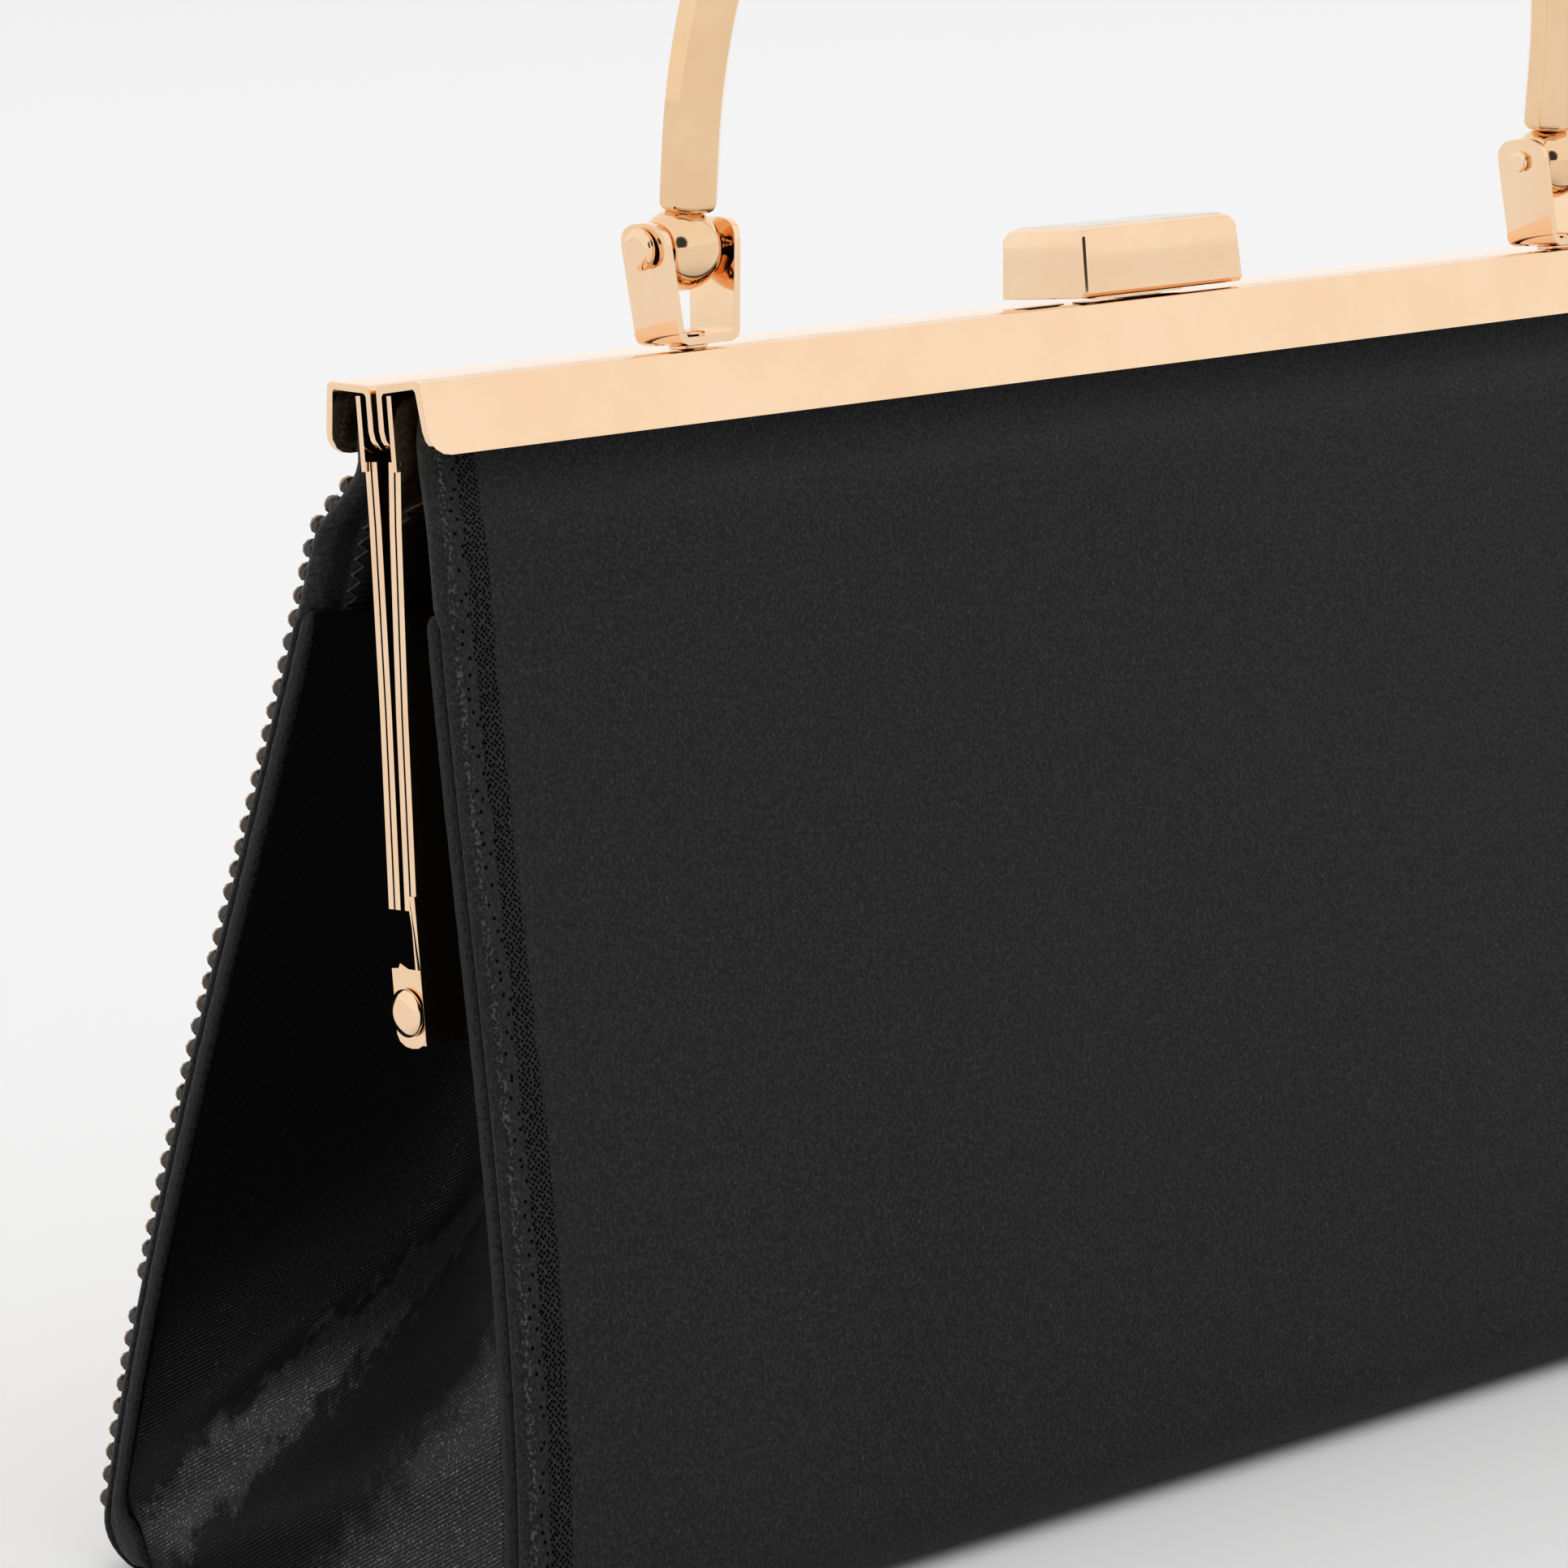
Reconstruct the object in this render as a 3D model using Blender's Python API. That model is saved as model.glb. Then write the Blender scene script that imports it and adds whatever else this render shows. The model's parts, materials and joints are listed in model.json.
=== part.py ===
"""Framed clutch purse with a rigid top handle.

Units are millimetres in every constant and helper; make_mesh turns them into metres.
+Z is up and z = 0 is the flat the purse stands on. The length runs along X. The front
panel, which carries the crystals, faces -Y. The plain rear panel faces +Y.
Right means +X and left means -X.

Moving groups:
  rear half   fixed: rear channel, rear panel, base, gussets, brackets, lock base
  front half  turns on the two hinge rivets: front channel, front panel, crystals, keeper
  handle      turns on the two bracket pins
  lock bar    turns on its own pin, lifts at the front
"""

import bmesh
import bpy
import math
from mathutils import Matrix, Vector

MM = 0.001

# Frame: two channels bent from sheet, one for each half.
FRAME_HALF_LENGTH = 100.0
FRAME_TOP = 118.0
CHANNEL_SHEET = 0.8
CHANNEL_INNER_Y = 0.5
CHANNEL_OUTER_Y = 7.5
CHANNEL_WALL_BOTTOM = 110.8
CHANNEL_SPLAY = 1.0
CHANNEL_TOP_FALL = 0.4
CHANNEL_END_RADIUS = 2.4

# Body: padded board panels that flare towards the base.
BASE_HALF_LENGTH = 120.6
END_FLARE = 0.187
SEAM_HALF_DEPTH_BASE = 31.2
SEAM_HALF_DEPTH_TOP = 7.9
SEAM_TOP_Z = 97.0
SEAM_SLOPE_BASE = -0.06
SEAM_SLOPE_TOP = -0.26
PANEL_PROUD = 4.6
PANEL_THICKNESS = 3.4
PANEL_TOP = 115.9
PANEL_NECK_Z = 103.0
PANEL_NECK_Y = 6.5
PANEL_NECK_HALF_LENGTH = 98.5
PANEL_EDGE_ROUND = 1.4
BASE_CORNER_RADIUS = 6.0
BASE_HALF_DEPTH = 28.0
FRONT_PANEL_LOW = 60.0
FRONT_FOOT_TOP = 45.0
FIT_GAP = 0.3

# Gussets: folded inwards along the middle of each end.
GUSSET_THICKNESS = 1.0
GUSSET_TOP = 96.0
GUSSET_FOLD_X = 93.5
GUSSET_FOLD_FULL_Z = 52.0
GUSSET_LEAF_LOW = 59.5

# Lining and crystals.
LINING_THICKNESS = 0.6
LINING_HALF_LENGTH = 91.0
CRYSTAL_THICKNESS = 1.0

# Hinge of the two halves.
HINGE_Z = 57.0
ARM_LEAF = 0.8
ARM_SLIT = 0.28
ARM_INNER_X = 95.6
ARM_OUTER_X = 100.05
ARM_OUTER_LEAN = 0.044
ARM_LOW = 67.0
ARM_TOP = 116.6
HINGE_PLATE_OUT_X = 101.6
HINGE_PLATE_IN_X = 96.4
HINGE_RIVET_RADIUS = 1.0
HINGE_HEAD_RADIUS = 2.4
RUNNING_GAP = 0.05
PRESS_GAP = 0.06

# Handle and its brackets, over the rear channel.
HANDLE_PIVOT_X = 64.2
HANDLE_PIVOT_Y = 4.3
HANDLE_PIVOT_Z = 128.1
HANDLE_LEAN = math.radians(10.5)
HANDLE_FLATS = 5.6
HANDLE_STRAIGHT_TOP = 10.0
HANDLE_LEG_LOW = 3.4
BALL_RADIUS = 4.15
BALL_HALF_LENGTH = 3.05
BALL_DROP = 0.3
CUP_GAP = 0.1
HANDLE_PIN_RADIUS = 1.0
BRACKET_SHEET = 0.8
BRACKET_HALF_WIDTH = 3.5
BRACKET_BASE_HALF_LENGTH = 3.95
BRACKET_TOP_HALF_LENGTH = 5.05
BRACKET_LOW = 118.45
BRACKET_EAR_RISE = 2.55
HANDLE_PIN_EAR = 5.0

# Lock: a hollow bar that spans both channels.
LOCK_HALF_LENGTH = 11.75
LOCK_HALF_DEPTH = 6.65
LOCK_LOW = 118.5
LOCK_TOP = 126.0
LOCK_EDGE = 1.3
LOCK_DRAFT = 0.28
LOCK_WALL = 0.95
LOCK_PIN_Y = 4.35
LOCK_PIN_Z = 122.3
LOCK_PIN_RADIUS = 0.6
LUG_RADIUS = 1.15
LUG_X = 5.0
LUG_THICKNESS = 1.2
KEEPER_HALF_LENGTH = 2.6
NOTCH_HALF_LENGTH = 3.2
NOTCH_TOP = 121.6

for stale in list(bpy.data.objects):
    bpy.data.objects.remove(stale, do_unlink=True)


# ---------------------------------------------------------------- materials

def make_material(name, colour, metallic, roughness):
    """One Principled material."""
    material = bpy.data.materials.new(name)
    material.use_nodes = True
    shader = material.node_tree.nodes["Principled BSDF"]
    shader.inputs["Base Color"].default_value = (*colour, 1.0)
    shader.inputs["Metallic"].default_value = metallic
    shader.inputs["Roughness"].default_value = roughness
    return material


ROSE_GOLD = (0.86, 0.62, 0.42)
SATIN_BLACK = (0.018, 0.018, 0.02)
LINING_BLACK = (0.012, 0.012, 0.013)
CRYSTAL_CLEAR = (0.78, 0.66, 0.48)
SPRING_STEEL = (0.55, 0.55, 0.56)


# ---------------------------------------------------------------- mesh helpers

def make_mesh(name, points, faces, look):
    """Add one closed mesh object from millimetre points, with its own material."""
    mesh = bpy.data.meshes.new(name)
    mesh.from_pydata([tuple(c * MM for c in p) for p in points], [], faces)
    shape = bmesh.new()
    shape.from_mesh(mesh)
    bmesh.ops.recalc_face_normals(shape, faces=shape.faces)
    shape.to_mesh(mesh)
    shape.free()
    thing = bpy.data.objects.new(name, mesh)
    bpy.context.scene.collection.objects.link(thing)
    if look is not None:
        mesh.materials.append(make_material(name, *look))
    return thing


def loft(name, rings, look):
    """Join equal-length closed rings into one capped solid."""
    count = len(rings[0])
    points = [p for ring in rings for p in ring]
    faces = []
    for row in range(len(rings) - 1):
        low = row * count
        high = low + count
        for i in range(count):
            j = (i + 1) % count
            faces.append((low + i, low + j, high + j, high + i))
    faces.append(tuple(range(count)))
    faces.append(tuple(range((len(rings) - 1) * count, len(rings) * count)))
    return make_mesh(name, points, faces, look)


def prism_x(name, outline, x_low, x_high, look):
    """Extrude a (y, z) outline along X."""
    return loft(name, [[(x, y, z) for y, z in outline] for x in (x_low, x_high)], look)


def box(name, low, high, look):
    """Axis-aligned box between two corners."""
    outline = [(low[1], low[2]), (high[1], low[2]), (high[1], high[2]), (low[1], high[2])]
    return prism_x(name, outline, low[0], high[0], look)


def turned(name, profile, centre, axis, sides, look):
    """Solid of revolution: profile is (distance along axis, radius) from end to end."""
    axis = Vector(axis).normalized()
    side = axis.orthogonal().normalized()
    up = axis.cross(side)
    rings = []
    for along, radius in profile:
        ring = []
        for k in range(sides):
            angle = 2.0 * math.pi * k / sides
            spoke = side * math.cos(angle) + up * math.sin(angle)
            ring.append(tuple(Vector(centre) + axis * along + spoke * radius))
        rings.append(ring)
    return loft(name, rings, look)


def combine(thing, other, operation):
    """Exact boolean of thing with a hidden helper solid."""
    other.hide_render = True
    other.display_type = "WIRE"
    modifier = thing.modifiers.new(other.name, "BOOLEAN")
    modifier.operation = operation
    modifier.solver = "EXACT"
    modifier.object = other
    return thing


def smooth_step(value):
    """Cubic ease from 0 to 1."""
    value = min(1.0, max(0.0, value))
    return value * value * (3.0 - 2.0 * value)


def mix(a, b, weight):
    return a + (b - a) * weight


# ---------------------------------------------------------------- body profile

def seam_half_depth(z):
    """Half depth of the body at the gusset seams."""
    if z > SEAM_TOP_Z:
        return SEAM_HALF_DEPTH_TOP + SEAM_SLOPE_TOP * (z - SEAM_TOP_Z)
    s = z / SEAM_TOP_Z
    low = (2 * s ** 3 - 3 * s ** 2 + 1) * SEAM_HALF_DEPTH_BASE
    low += (s ** 3 - 2 * s ** 2 + s) * SEAM_TOP_Z * SEAM_SLOPE_BASE
    high = (3 * s ** 2 - 2 * s ** 3) * SEAM_HALF_DEPTH_TOP
    high += (s ** 3 - s ** 2) * SEAM_TOP_Z * SEAM_SLOPE_TOP
    return low + high


def end_half_length(z):
    """Half length of the body at the gusset seams."""
    return BASE_HALF_LENGTH - END_FLARE * z


def neck(z):
    """0 on the flared body and 1 where the panel has drawn in to enter its channel."""
    return smooth_step((z - PANEL_NECK_Z) / (CHANNEL_WALL_BOTTOM - PANEL_NECK_Z))


def panel_outer(z):
    """Outer face of a panel."""
    face = mix(seam_half_depth(z) + PANEL_PROUD, PANEL_NECK_Y, neck(z))
    if z < BASE_CORNER_RADIUS:
        drop = BASE_CORNER_RADIUS - z
        face -= BASE_CORNER_RADIUS - math.sqrt(BASE_CORNER_RADIUS ** 2 - drop ** 2)
    return face


def panel_inner(z):
    """Inner face of a panel, thickened at the foot to meet the base board."""
    face = mix(seam_half_depth(z) + PANEL_PROUD, PANEL_NECK_Y, neck(z)) - PANEL_THICKNESS
    foot = BASE_HALF_DEPTH + FIT_GAP
    return mix(foot, face, smooth_step((z - PANEL_THICKNESS) / 4.0))


def panel_half_length(z):
    length = mix(end_half_length(z), PANEL_NECK_HALF_LENGTH, neck(z))
    if z < BASE_CORNER_RADIUS:
        length -= 2.0 * (1.0 - z / BASE_CORNER_RADIUS) ** 2
    return length


def panel_ring(z, side):
    """Level section of a panel with rounded outer corners."""
    half = panel_half_length(z)
    out = panel_outer(z)
    inner = min(panel_inner(z), out - 1.0)
    r = min(PANEL_EDGE_ROUND, (out - inner) * 0.45)
    corner = [(half, out - r), (half - 0.3 * r, out - 0.3 * r), (half - r, out)]
    ring = [(half, inner)] + corner
    ring += [(-x, y) for x, y in reversed(corner)] + [(-half, inner)]
    return [(x, side * y, z) for x, y in ring]


def panel(name, levels, side, look):
    return loft(name, [panel_ring(z, side) for z in levels], look)


def spaced(low, high, count):
    return [low + (high - low) * i / (count - 1) for i in range(count)]


# ---------------------------------------------------------------- frame channels

def channel_section(x, side):
    """(y, z) outline of one channel at station x, walls drawn up at its rounded ends."""
    inset = FRAME_HALF_LENGTH - abs(x)
    lift = 0.0
    if inset < CHANNEL_END_RADIUS:
        away = CHANNEL_END_RADIUS - inset
        lift = CHANNEL_END_RADIUS - math.sqrt(max(CHANNEL_END_RADIUS ** 2 - away ** 2, 0.0))
    low = CHANNEL_WALL_BOTTOM + lift
    t = CHANNEL_SHEET
    top_out = FRAME_TOP
    top_in = FRAME_TOP - CHANNEL_TOP_FALL
    splay = CHANNEL_SPLAY * (FRAME_TOP - low) / (FRAME_TOP - CHANNEL_WALL_BOTTOM)
    outline = [
        (CHANNEL_INNER_Y, low),
        (CHANNEL_INNER_Y, top_in - 0.6),
        (CHANNEL_INNER_Y + 0.2, top_in - 0.15),
        (CHANNEL_INNER_Y + 0.7, top_in),
        (CHANNEL_OUTER_Y - 0.7, top_out),
        (CHANNEL_OUTER_Y - 0.15, top_out - 0.2),
        (CHANNEL_OUTER_Y, top_out - 0.7),
        (CHANNEL_OUTER_Y + splay, low),
        (CHANNEL_OUTER_Y + splay - t, low),
        (CHANNEL_OUTER_Y - t, top_out - t - 0.3),
        (CHANNEL_OUTER_Y - t - 0.3, top_out - t),
        (CHANNEL_INNER_Y + t + 0.3, top_in - t),
        (CHANNEL_INNER_Y + t, top_in - t - 0.3),
        (CHANNEL_INNER_Y + t, low),
    ]
    return [(x, side * y, z) for y, z in outline]


def channel(name, side):
    steps = [0.0, 0.25, 0.5, 0.75, 1.0]
    ends = [FRAME_HALF_LENGTH - CHANNEL_END_RADIUS * (1 - math.cos(s * math.pi / 2)) for s in steps]
    stations = [-x for x in ends] + list(reversed(ends))
    return loft(name, [channel_section(x, side) for x in stations], ROSE_GOLD_LOOK)


ROSE_GOLD_LOOK = (ROSE_GOLD, 1.0, 0.12)
SATIN_LOOK = (SATIN_BLACK, 0.0, 0.5)
LINING_LOOK = (LINING_BLACK, 0.0, 0.7)
CRYSTAL_LOOK = (CRYSTAL_CLEAR, 0.0, 0.1)
STEEL_LOOK = (SPRING_STEEL, 1.0, 0.3)

front_channel = channel("front_channel", -1)
rear_channel = channel("rear_channel", 1)


# ---------------------------------------------------------------- panels and linings

rear_levels = spaced(0.0, 7.5, 8) + spaced(9.0, 103.0, 16) + spaced(104.6, 110.8, 5) + [PANEL_TOP]
foot_levels = spaced(0.0, 7.5, 8) + spaced(9.0, FRONT_FOOT_TOP, 7)
front_levels = spaced(FRONT_PANEL_LOW, 103.0, 8) + spaced(104.6, 110.8, 5) + [PANEL_TOP]

rear_panel = panel("rear_panel", rear_levels, 1, SATIN_LOOK)
front_panel = panel("front_panel", front_levels, -1, SATIN_LOOK)
front_panel_foot = panel("front_panel_foot", foot_levels, -1, SATIN_LOOK)
base_panel = box(
    "base_panel",
    (-BASE_HALF_LENGTH + 4.6, -BASE_HALF_DEPTH, 0.0),
    (BASE_HALF_LENGTH - 4.6, BASE_HALF_DEPTH, PANEL_THICKNESS),
    SATIN_LOOK,
)


def sheet_ring(z, half_length, near, thickness, side):
    """Level section of a thin layer between near and near + thickness."""
    ring = [(-half_length, near), (half_length, near)]
    ring += [(half_length, near + thickness), (-half_length, near + thickness)]
    return [(x, side * y, z) for x, y in ring]


def lining(name, levels, side):
    rings = []
    for z in levels:
        near = panel_inner(z) - FIT_GAP - LINING_THICKNESS
        rings.append(sheet_ring(z, LINING_HALF_LENGTH, near, LINING_THICKNESS, side))
    return loft(name, rings, LINING_LOOK)


rear_lining = lining("rear_lining", spaced(9.0, 103.0, 12) + spaced(105.0, 111.0, 4) + [115.0], 1)
front_lining = lining("front_lining", spaced(62.0, 103.0, 6) + spaced(105.0, 111.0, 4) + [115.0], -1)
base_lining = box(
    "base_lining",
    (-LINING_HALF_LENGTH, -27.0, PANEL_THICKNESS + FIT_GAP),
    (LINING_HALF_LENGTH, 27.0, PANEL_THICKNESS + FIT_GAP + LINING_THICKNESS),
    LINING_LOOK,
)


def crystals(name, levels):
    """Thin layer that stands for the crystals set on the front panel."""
    rings = []
    for z in levels:
        half = panel_half_length(z) - PANEL_EDGE_ROUND
        rings.append(sheet_ring(z, half, panel_outer(z) + 0.15, CRYSTAL_THICKNESS, -1))
    return loft(name, rings, CRYSTAL_LOOK)


crystal_field = crystals("crystal_field", spaced(FRONT_PANEL_LOW + 1.0, 103.0, 8) + [104.5, 106.0, 107.5])
crystal_field_foot = crystals("crystal_field_foot", spaced(7.0, FRONT_FOOT_TOP - 1.0, 7))


# ---------------------------------------------------------------- gussets

def gusset_point(t, z, depth_shift):
    """Point on a right-hand gusset: t is -1 at the front seam, 0 at the fold, 1 at the rear."""
    level = max(z - 1.2 * (1.0 - smooth_step(z / 22.0)), 0.0)
    half_depth = panel_inner(level) - mix(2.0 * FIT_GAP, FIT_GAP, smooth_step(z / 22.0))
    seam_x = panel_half_length(z) - 0.4
    fold = max(seam_x - GUSSET_FOLD_X, 0.0) * smooth_step(z / GUSSET_FOLD_FULL_Z)
    x = seam_x - fold * (1.0 - abs(t) ** 1.5) - depth_shift
    return (x, t * half_depth, z)


def gusset_solid(name, columns, low, top_of, sign):
    """Closed leaf over a grid of columns (t) and rows (z)."""
    rows = 14
    count = len(columns)
    points = []
    for shift in (0.0, GUSSET_THICKNESS):
        for row in range(rows + 1):
            for t in columns:
                z = mix(low, top_of(t), (row / rows) ** 1.5)
                x, y, z = gusset_point(t, z, shift)
                points.append((sign * x, y, z))
    size = count * (rows + 1)
    faces = []
    for row in range(rows):
        for i in range(count - 1):
            a = row * count + i
            faces.append((a, a + 1, a + 1 + count, a + count))
            b = a + size
            faces.append((b, b + count, b + 1 + count, b + 1))
    last = rows * count
    for i in range(count - 1):
        faces.append((i, i + size, i + 1 + size, i + 1))
        faces.append((last + i, last + i + 1, last + i + 1 + size, last + i + size))
    for row in range(rows):
        a = row * count
        faces.append((a, a + count, a + count + size, a + size))
        b = a + count - 1
        faces.append((b, b + size, b + count + size, b + count))
    return make_mesh(name, points, faces, SATIN_LOOK)


def fixed_top(t):
    """Top edge of the fixed gusset: full height at the rear, cut away where the front opens."""
    if t >= 0.06:
        return GUSSET_TOP
    return 54.0 + 12.0 * min(t, 0.0)


fixed_columns = [-1.0, -0.85, -0.7, -0.55, -0.4, -0.25, -0.12, -0.04, 0.02]
fixed_columns += [0.06, 0.14, 0.25, 0.4, 0.55, 0.7, 0.85, 1.0]
leaf_columns = [-1.0, -0.85, -0.7, -0.55, -0.4, -0.25, -0.14, -0.07]

for sign, hand in ((1, "right"), (-1, "left")):
    gusset_solid("gusset_" + hand, fixed_columns, 0.4, fixed_top, sign)
    gusset_solid("front_gusset_" + hand, leaf_columns, GUSSET_LEAF_LOW, lambda t: GUSSET_TOP, sign)


# ---------------------------------------------------------------- hinge arms

def arm_centre(z):
    """Distance of an arm's slit from the middle plane, closing in below the frame."""
    if z > 104.0:
        return mix(1.62, 1.9, (z - 104.0) / 6.0)
    return mix(1.3, 1.62, max(z - 86.0, 0.0) / 18.0)


def arm_outer(z):
    """Open edge of an arm, leaning outwards towards the hinge."""
    return ARM_OUTER_X + ARM_OUTER_LEAN * (98.0 - z)


def arm_ring(z, sign, side):
    """Folded strip: two leaves joined on the inside of the purse."""
    mid = arm_centre(z)
    half_slit = ARM_SLIT / 2.0
    near = mid - half_slit - ARM_LEAF
    far = mid + half_slit + ARM_LEAF
    fold = ARM_INNER_X + ARM_LEAF
    edge = arm_outer(z)
    ring = [
        (edge, near),
        (ARM_INNER_X + 0.4, near),
        (ARM_INNER_X, near + 0.4),
        (ARM_INNER_X, far - 0.4),
        (ARM_INNER_X + 0.4, far),
        (edge, far),
        (edge, mid + half_slit),
        (fold, mid + half_slit),
        (fold, mid - half_slit),
        (edge, mid - half_slit),
    ]
    return [(sign * x, side * y, z) for x, y in ring]


def arm_piece(thing, suffix, outline, low_x, high_x, sign, side):
    """Join one flat piece, a (y, z) outline between two X planes, to an arm."""
    outline = [(side * y, z) for y, z in outline]
    return combine(thing, prism_x(thing.name + suffix, outline, sign * low_x, sign * high_x, None), "UNION")


def arm(name, sign, side):
    """Folded strip and the tab that holds it in its channel."""
    levels = (ARM_LOW, 76.0, 86.0, 95.0, 104.0, 110.2)
    thing = loft(name, [arm_ring(z, sign, side) for z in levels], ROSE_GOLD_LOOK)
    low = arm_centre(109.8) + ARM_SLIT / 2.0 + 0.1
    tab = [(low, 109.3), (low + 0.7, 109.3), (low + 0.7, ARM_TOP), (low, ARM_TOP)]
    return arm_piece(thing, "_tab", tab, 96.0, 100.0, sign, side)


def bore_plate(thing, sign, plate_x):
    """Pivot hole through the plate whose outer face is at plate_x."""
    radius = HINGE_RIVET_RADIUS + RUNNING_GAP
    centre = (sign * (plate_x - ARM_LEAF / 2.0), 0.0, HINGE_Z)
    bore = turned(thing.name + "_bore", [(-1.5, radius), (1.5, radius)], centre, (1, 0, 0), 32, None)
    return combine(thing, bore, "DIFFERENCE")


def rear_arm(name, sign):
    """The outer leaf runs on down to the outer plate. The inner leaf tapers away above it."""
    thing = arm(name, sign, 1)
    leaf = [
        (1.44, 68.5), (2.24, 68.5), (2.24, 66.0), (2.3, 62.0),
        (2.3, 53.9), (1.5, 53.9), (1.5, 62.0), (1.44, 66.0),
    ]
    arm_piece(thing, "_leaf", leaf, ARM_INNER_X + 1.2, HINGE_PLATE_OUT_X - 0.03, sign, 1)
    web = [(0.37, 68.0), (1.6, 68.0), (1.75, 60.6), (1.4, 60.6)]
    arm_piece(thing, "_web", web, 100.25, 101.05, sign, 1)
    plate = [
        (2.29, 61.3), (2.29, 54.6), (1.9, 53.95), (1.0, 53.55), (0.0, 53.45),
        (-1.0, 53.55), (-1.9, 54.0), (-2.3, 54.7), (-2.3, 61.2), (-1.2, 61.3), (-0.9, 61.8), (0.4, 61.3),
    ]
    arm_piece(thing, "_plate", plate, HINGE_PLATE_OUT_X - ARM_LEAF, HINGE_PLATE_OUT_X, sign, 1)
    return bore_plate(thing, sign, HINGE_PLATE_OUT_X)


def front_arm(name, sign):
    """The strip's fold runs on down to the inner plate, hidden by the rear arm."""
    thing = arm(name, sign, -1)
    plate = [
        (0.37, 68.5), (2.2, 68.5), (2.2, 62.0), (1.75, 57.0), (1.6, 55.9), (0.9, 55.2),
        (0.0, 54.95), (-0.9, 55.2), (-1.35, 56.0), (-1.35, 58.6), (-0.2, 61.0), (0.37, 63.0),
    ]
    arm_piece(thing, "_plate", plate, ARM_INNER_X + 0.02, HINGE_PLATE_IN_X - 0.02, sign, -1)
    return bore_plate(thing, sign, HINGE_PLATE_IN_X)


def hinge_rivet(name, sign):
    """Rivet through both pivot plates, domed head outside."""
    r = HINGE_RIVET_RADIUS
    head = HINGE_HEAD_RADIUS
    start = ARM_INNER_X - 0.05
    end = HINGE_PLATE_OUT_X + 0.15
    profile = [
        (start - 0.75, 0.9),
        (start - 0.5, 1.5),
        (start, 1.7),
        (start + 0.001, r),
        (end, r),
        (end + 0.001, head),
        (end + 0.35, head),
        (end + 0.7, head * 0.8),
        (end + 0.95, head * 0.45),
    ]
    return turned(name, profile, (0, 0, HINGE_Z), (sign, 0, 0), 32, ROSE_GOLD_LOOK)


for sign, hand in ((1, "right"), (-1, "left")):
    rear_arm("rear_arm_" + hand, sign)
    front_arm("front_arm_" + hand, sign)
    hinge_rivet("hinge_rivet_" + hand, sign)


# ---------------------------------------------------------------- handle brackets

def bracket(name, sign):
    """U bracket bent from strip: base over the rear channel, two round-topped ears."""
    t = BRACKET_SHEET
    low = BRACKET_LOW
    high = HANDLE_PIVOT_Z + BRACKET_EAR_RISE + 0.4
    foot = BRACKET_BASE_HALF_LENGTH
    head = BRACKET_TOP_HALF_LENGTH
    outline = [
        (-head, high), (-foot, low + 1.2), (-foot + 0.35, low + 0.35), (-foot + 1.2, low),
        (foot - 1.2, low), (foot - 0.35, low + 0.35), (foot, low + 1.2), (head, high),
        (head - t, high), (foot - t, low + t + 0.5), (foot - t - 0.4, low + t),
        (-foot + t + 0.4, low + t), (-foot + t, low + t + 0.5), (-head + t, high),
    ]
    rings = []
    for y in (-BRACKET_HALF_WIDTH, BRACKET_HALF_WIDTH):
        rings.append([(sign * HANDLE_PIVOT_X + x, HANDLE_PIVOT_Y + y, z) for x, z in outline])
    thing = loft(name, rings, ROSE_GOLD_LOOK)
    # The ears are trimmed to a rounded top by an outline that keeps everything below the pivot.
    keep = [(-BRACKET_HALF_WIDTH - 1.0, low - 1.0), (BRACKET_HALF_WIDTH + 1.0, low - 1.0)]
    keep += [(BRACKET_HALF_WIDTH + 1.0, low + 0.7), (BRACKET_HALF_WIDTH - 0.1, low + 1.4)]
    for k in range(17):
        angle = math.pi * k / 16
        across = math.copysign(abs(math.cos(angle)) ** 0.75, math.cos(angle)) * (BRACKET_HALF_WIDTH - 0.02)
        keep.append((across, HANDLE_PIVOT_Z + BRACKET_EAR_RISE * math.sin(angle) ** 0.75))
    keep += [(-BRACKET_HALF_WIDTH + 0.1, low + 1.4), (-BRACKET_HALF_WIDTH - 1.0, low + 0.7)]
    keep = [(y + HANDLE_PIVOT_Y, z) for y, z in keep]
    mask = prism_x(name + "_outline", keep, sign * HANDLE_PIVOT_X - 6.0, sign * HANDLE_PIVOT_X + 6.0, None)
    combine(thing, mask, "INTERSECT")
    bore_radius = HANDLE_PIN_RADIUS + PRESS_GAP
    bore = turned(
        name + "_bore", [(-6.0, bore_radius), (6.0, bore_radius)],
        (sign * HANDLE_PIVOT_X, HANDLE_PIVOT_Y, HANDLE_PIVOT_Z), (1, 0, 0), 32, None,
    )
    combine(thing, bore, "DIFFERENCE")
    hole = turned(
        name + "_hole", [(-3.0, 1.2), (2.0, 1.2)],
        (sign * HANDLE_PIVOT_X, HANDLE_PIVOT_Y, BRACKET_LOW), (0, 0, 1), 32, None,
    )
    return combine(thing, hole, "DIFFERENCE")


def bracket_rivet(name, sign):
    """Collared rivet that holds a bracket down on the rear channel."""
    profile = [
        (116.25, 0.9), (116.35, 1.7), (116.75, 1.8), (116.751, 1.1), (117.95, 1.1), (117.951, 1.95),
        (118.35, 1.95), (118.351, 1.1), (119.35, 1.1), (119.351, 1.8), (119.6, 1.7), (119.85, 0.9),
    ]
    return turned(name, profile, (sign * HANDLE_PIVOT_X, HANDLE_PIVOT_Y, 0.0), (0, 0, 1), 32, ROSE_GOLD_LOOK)


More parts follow.
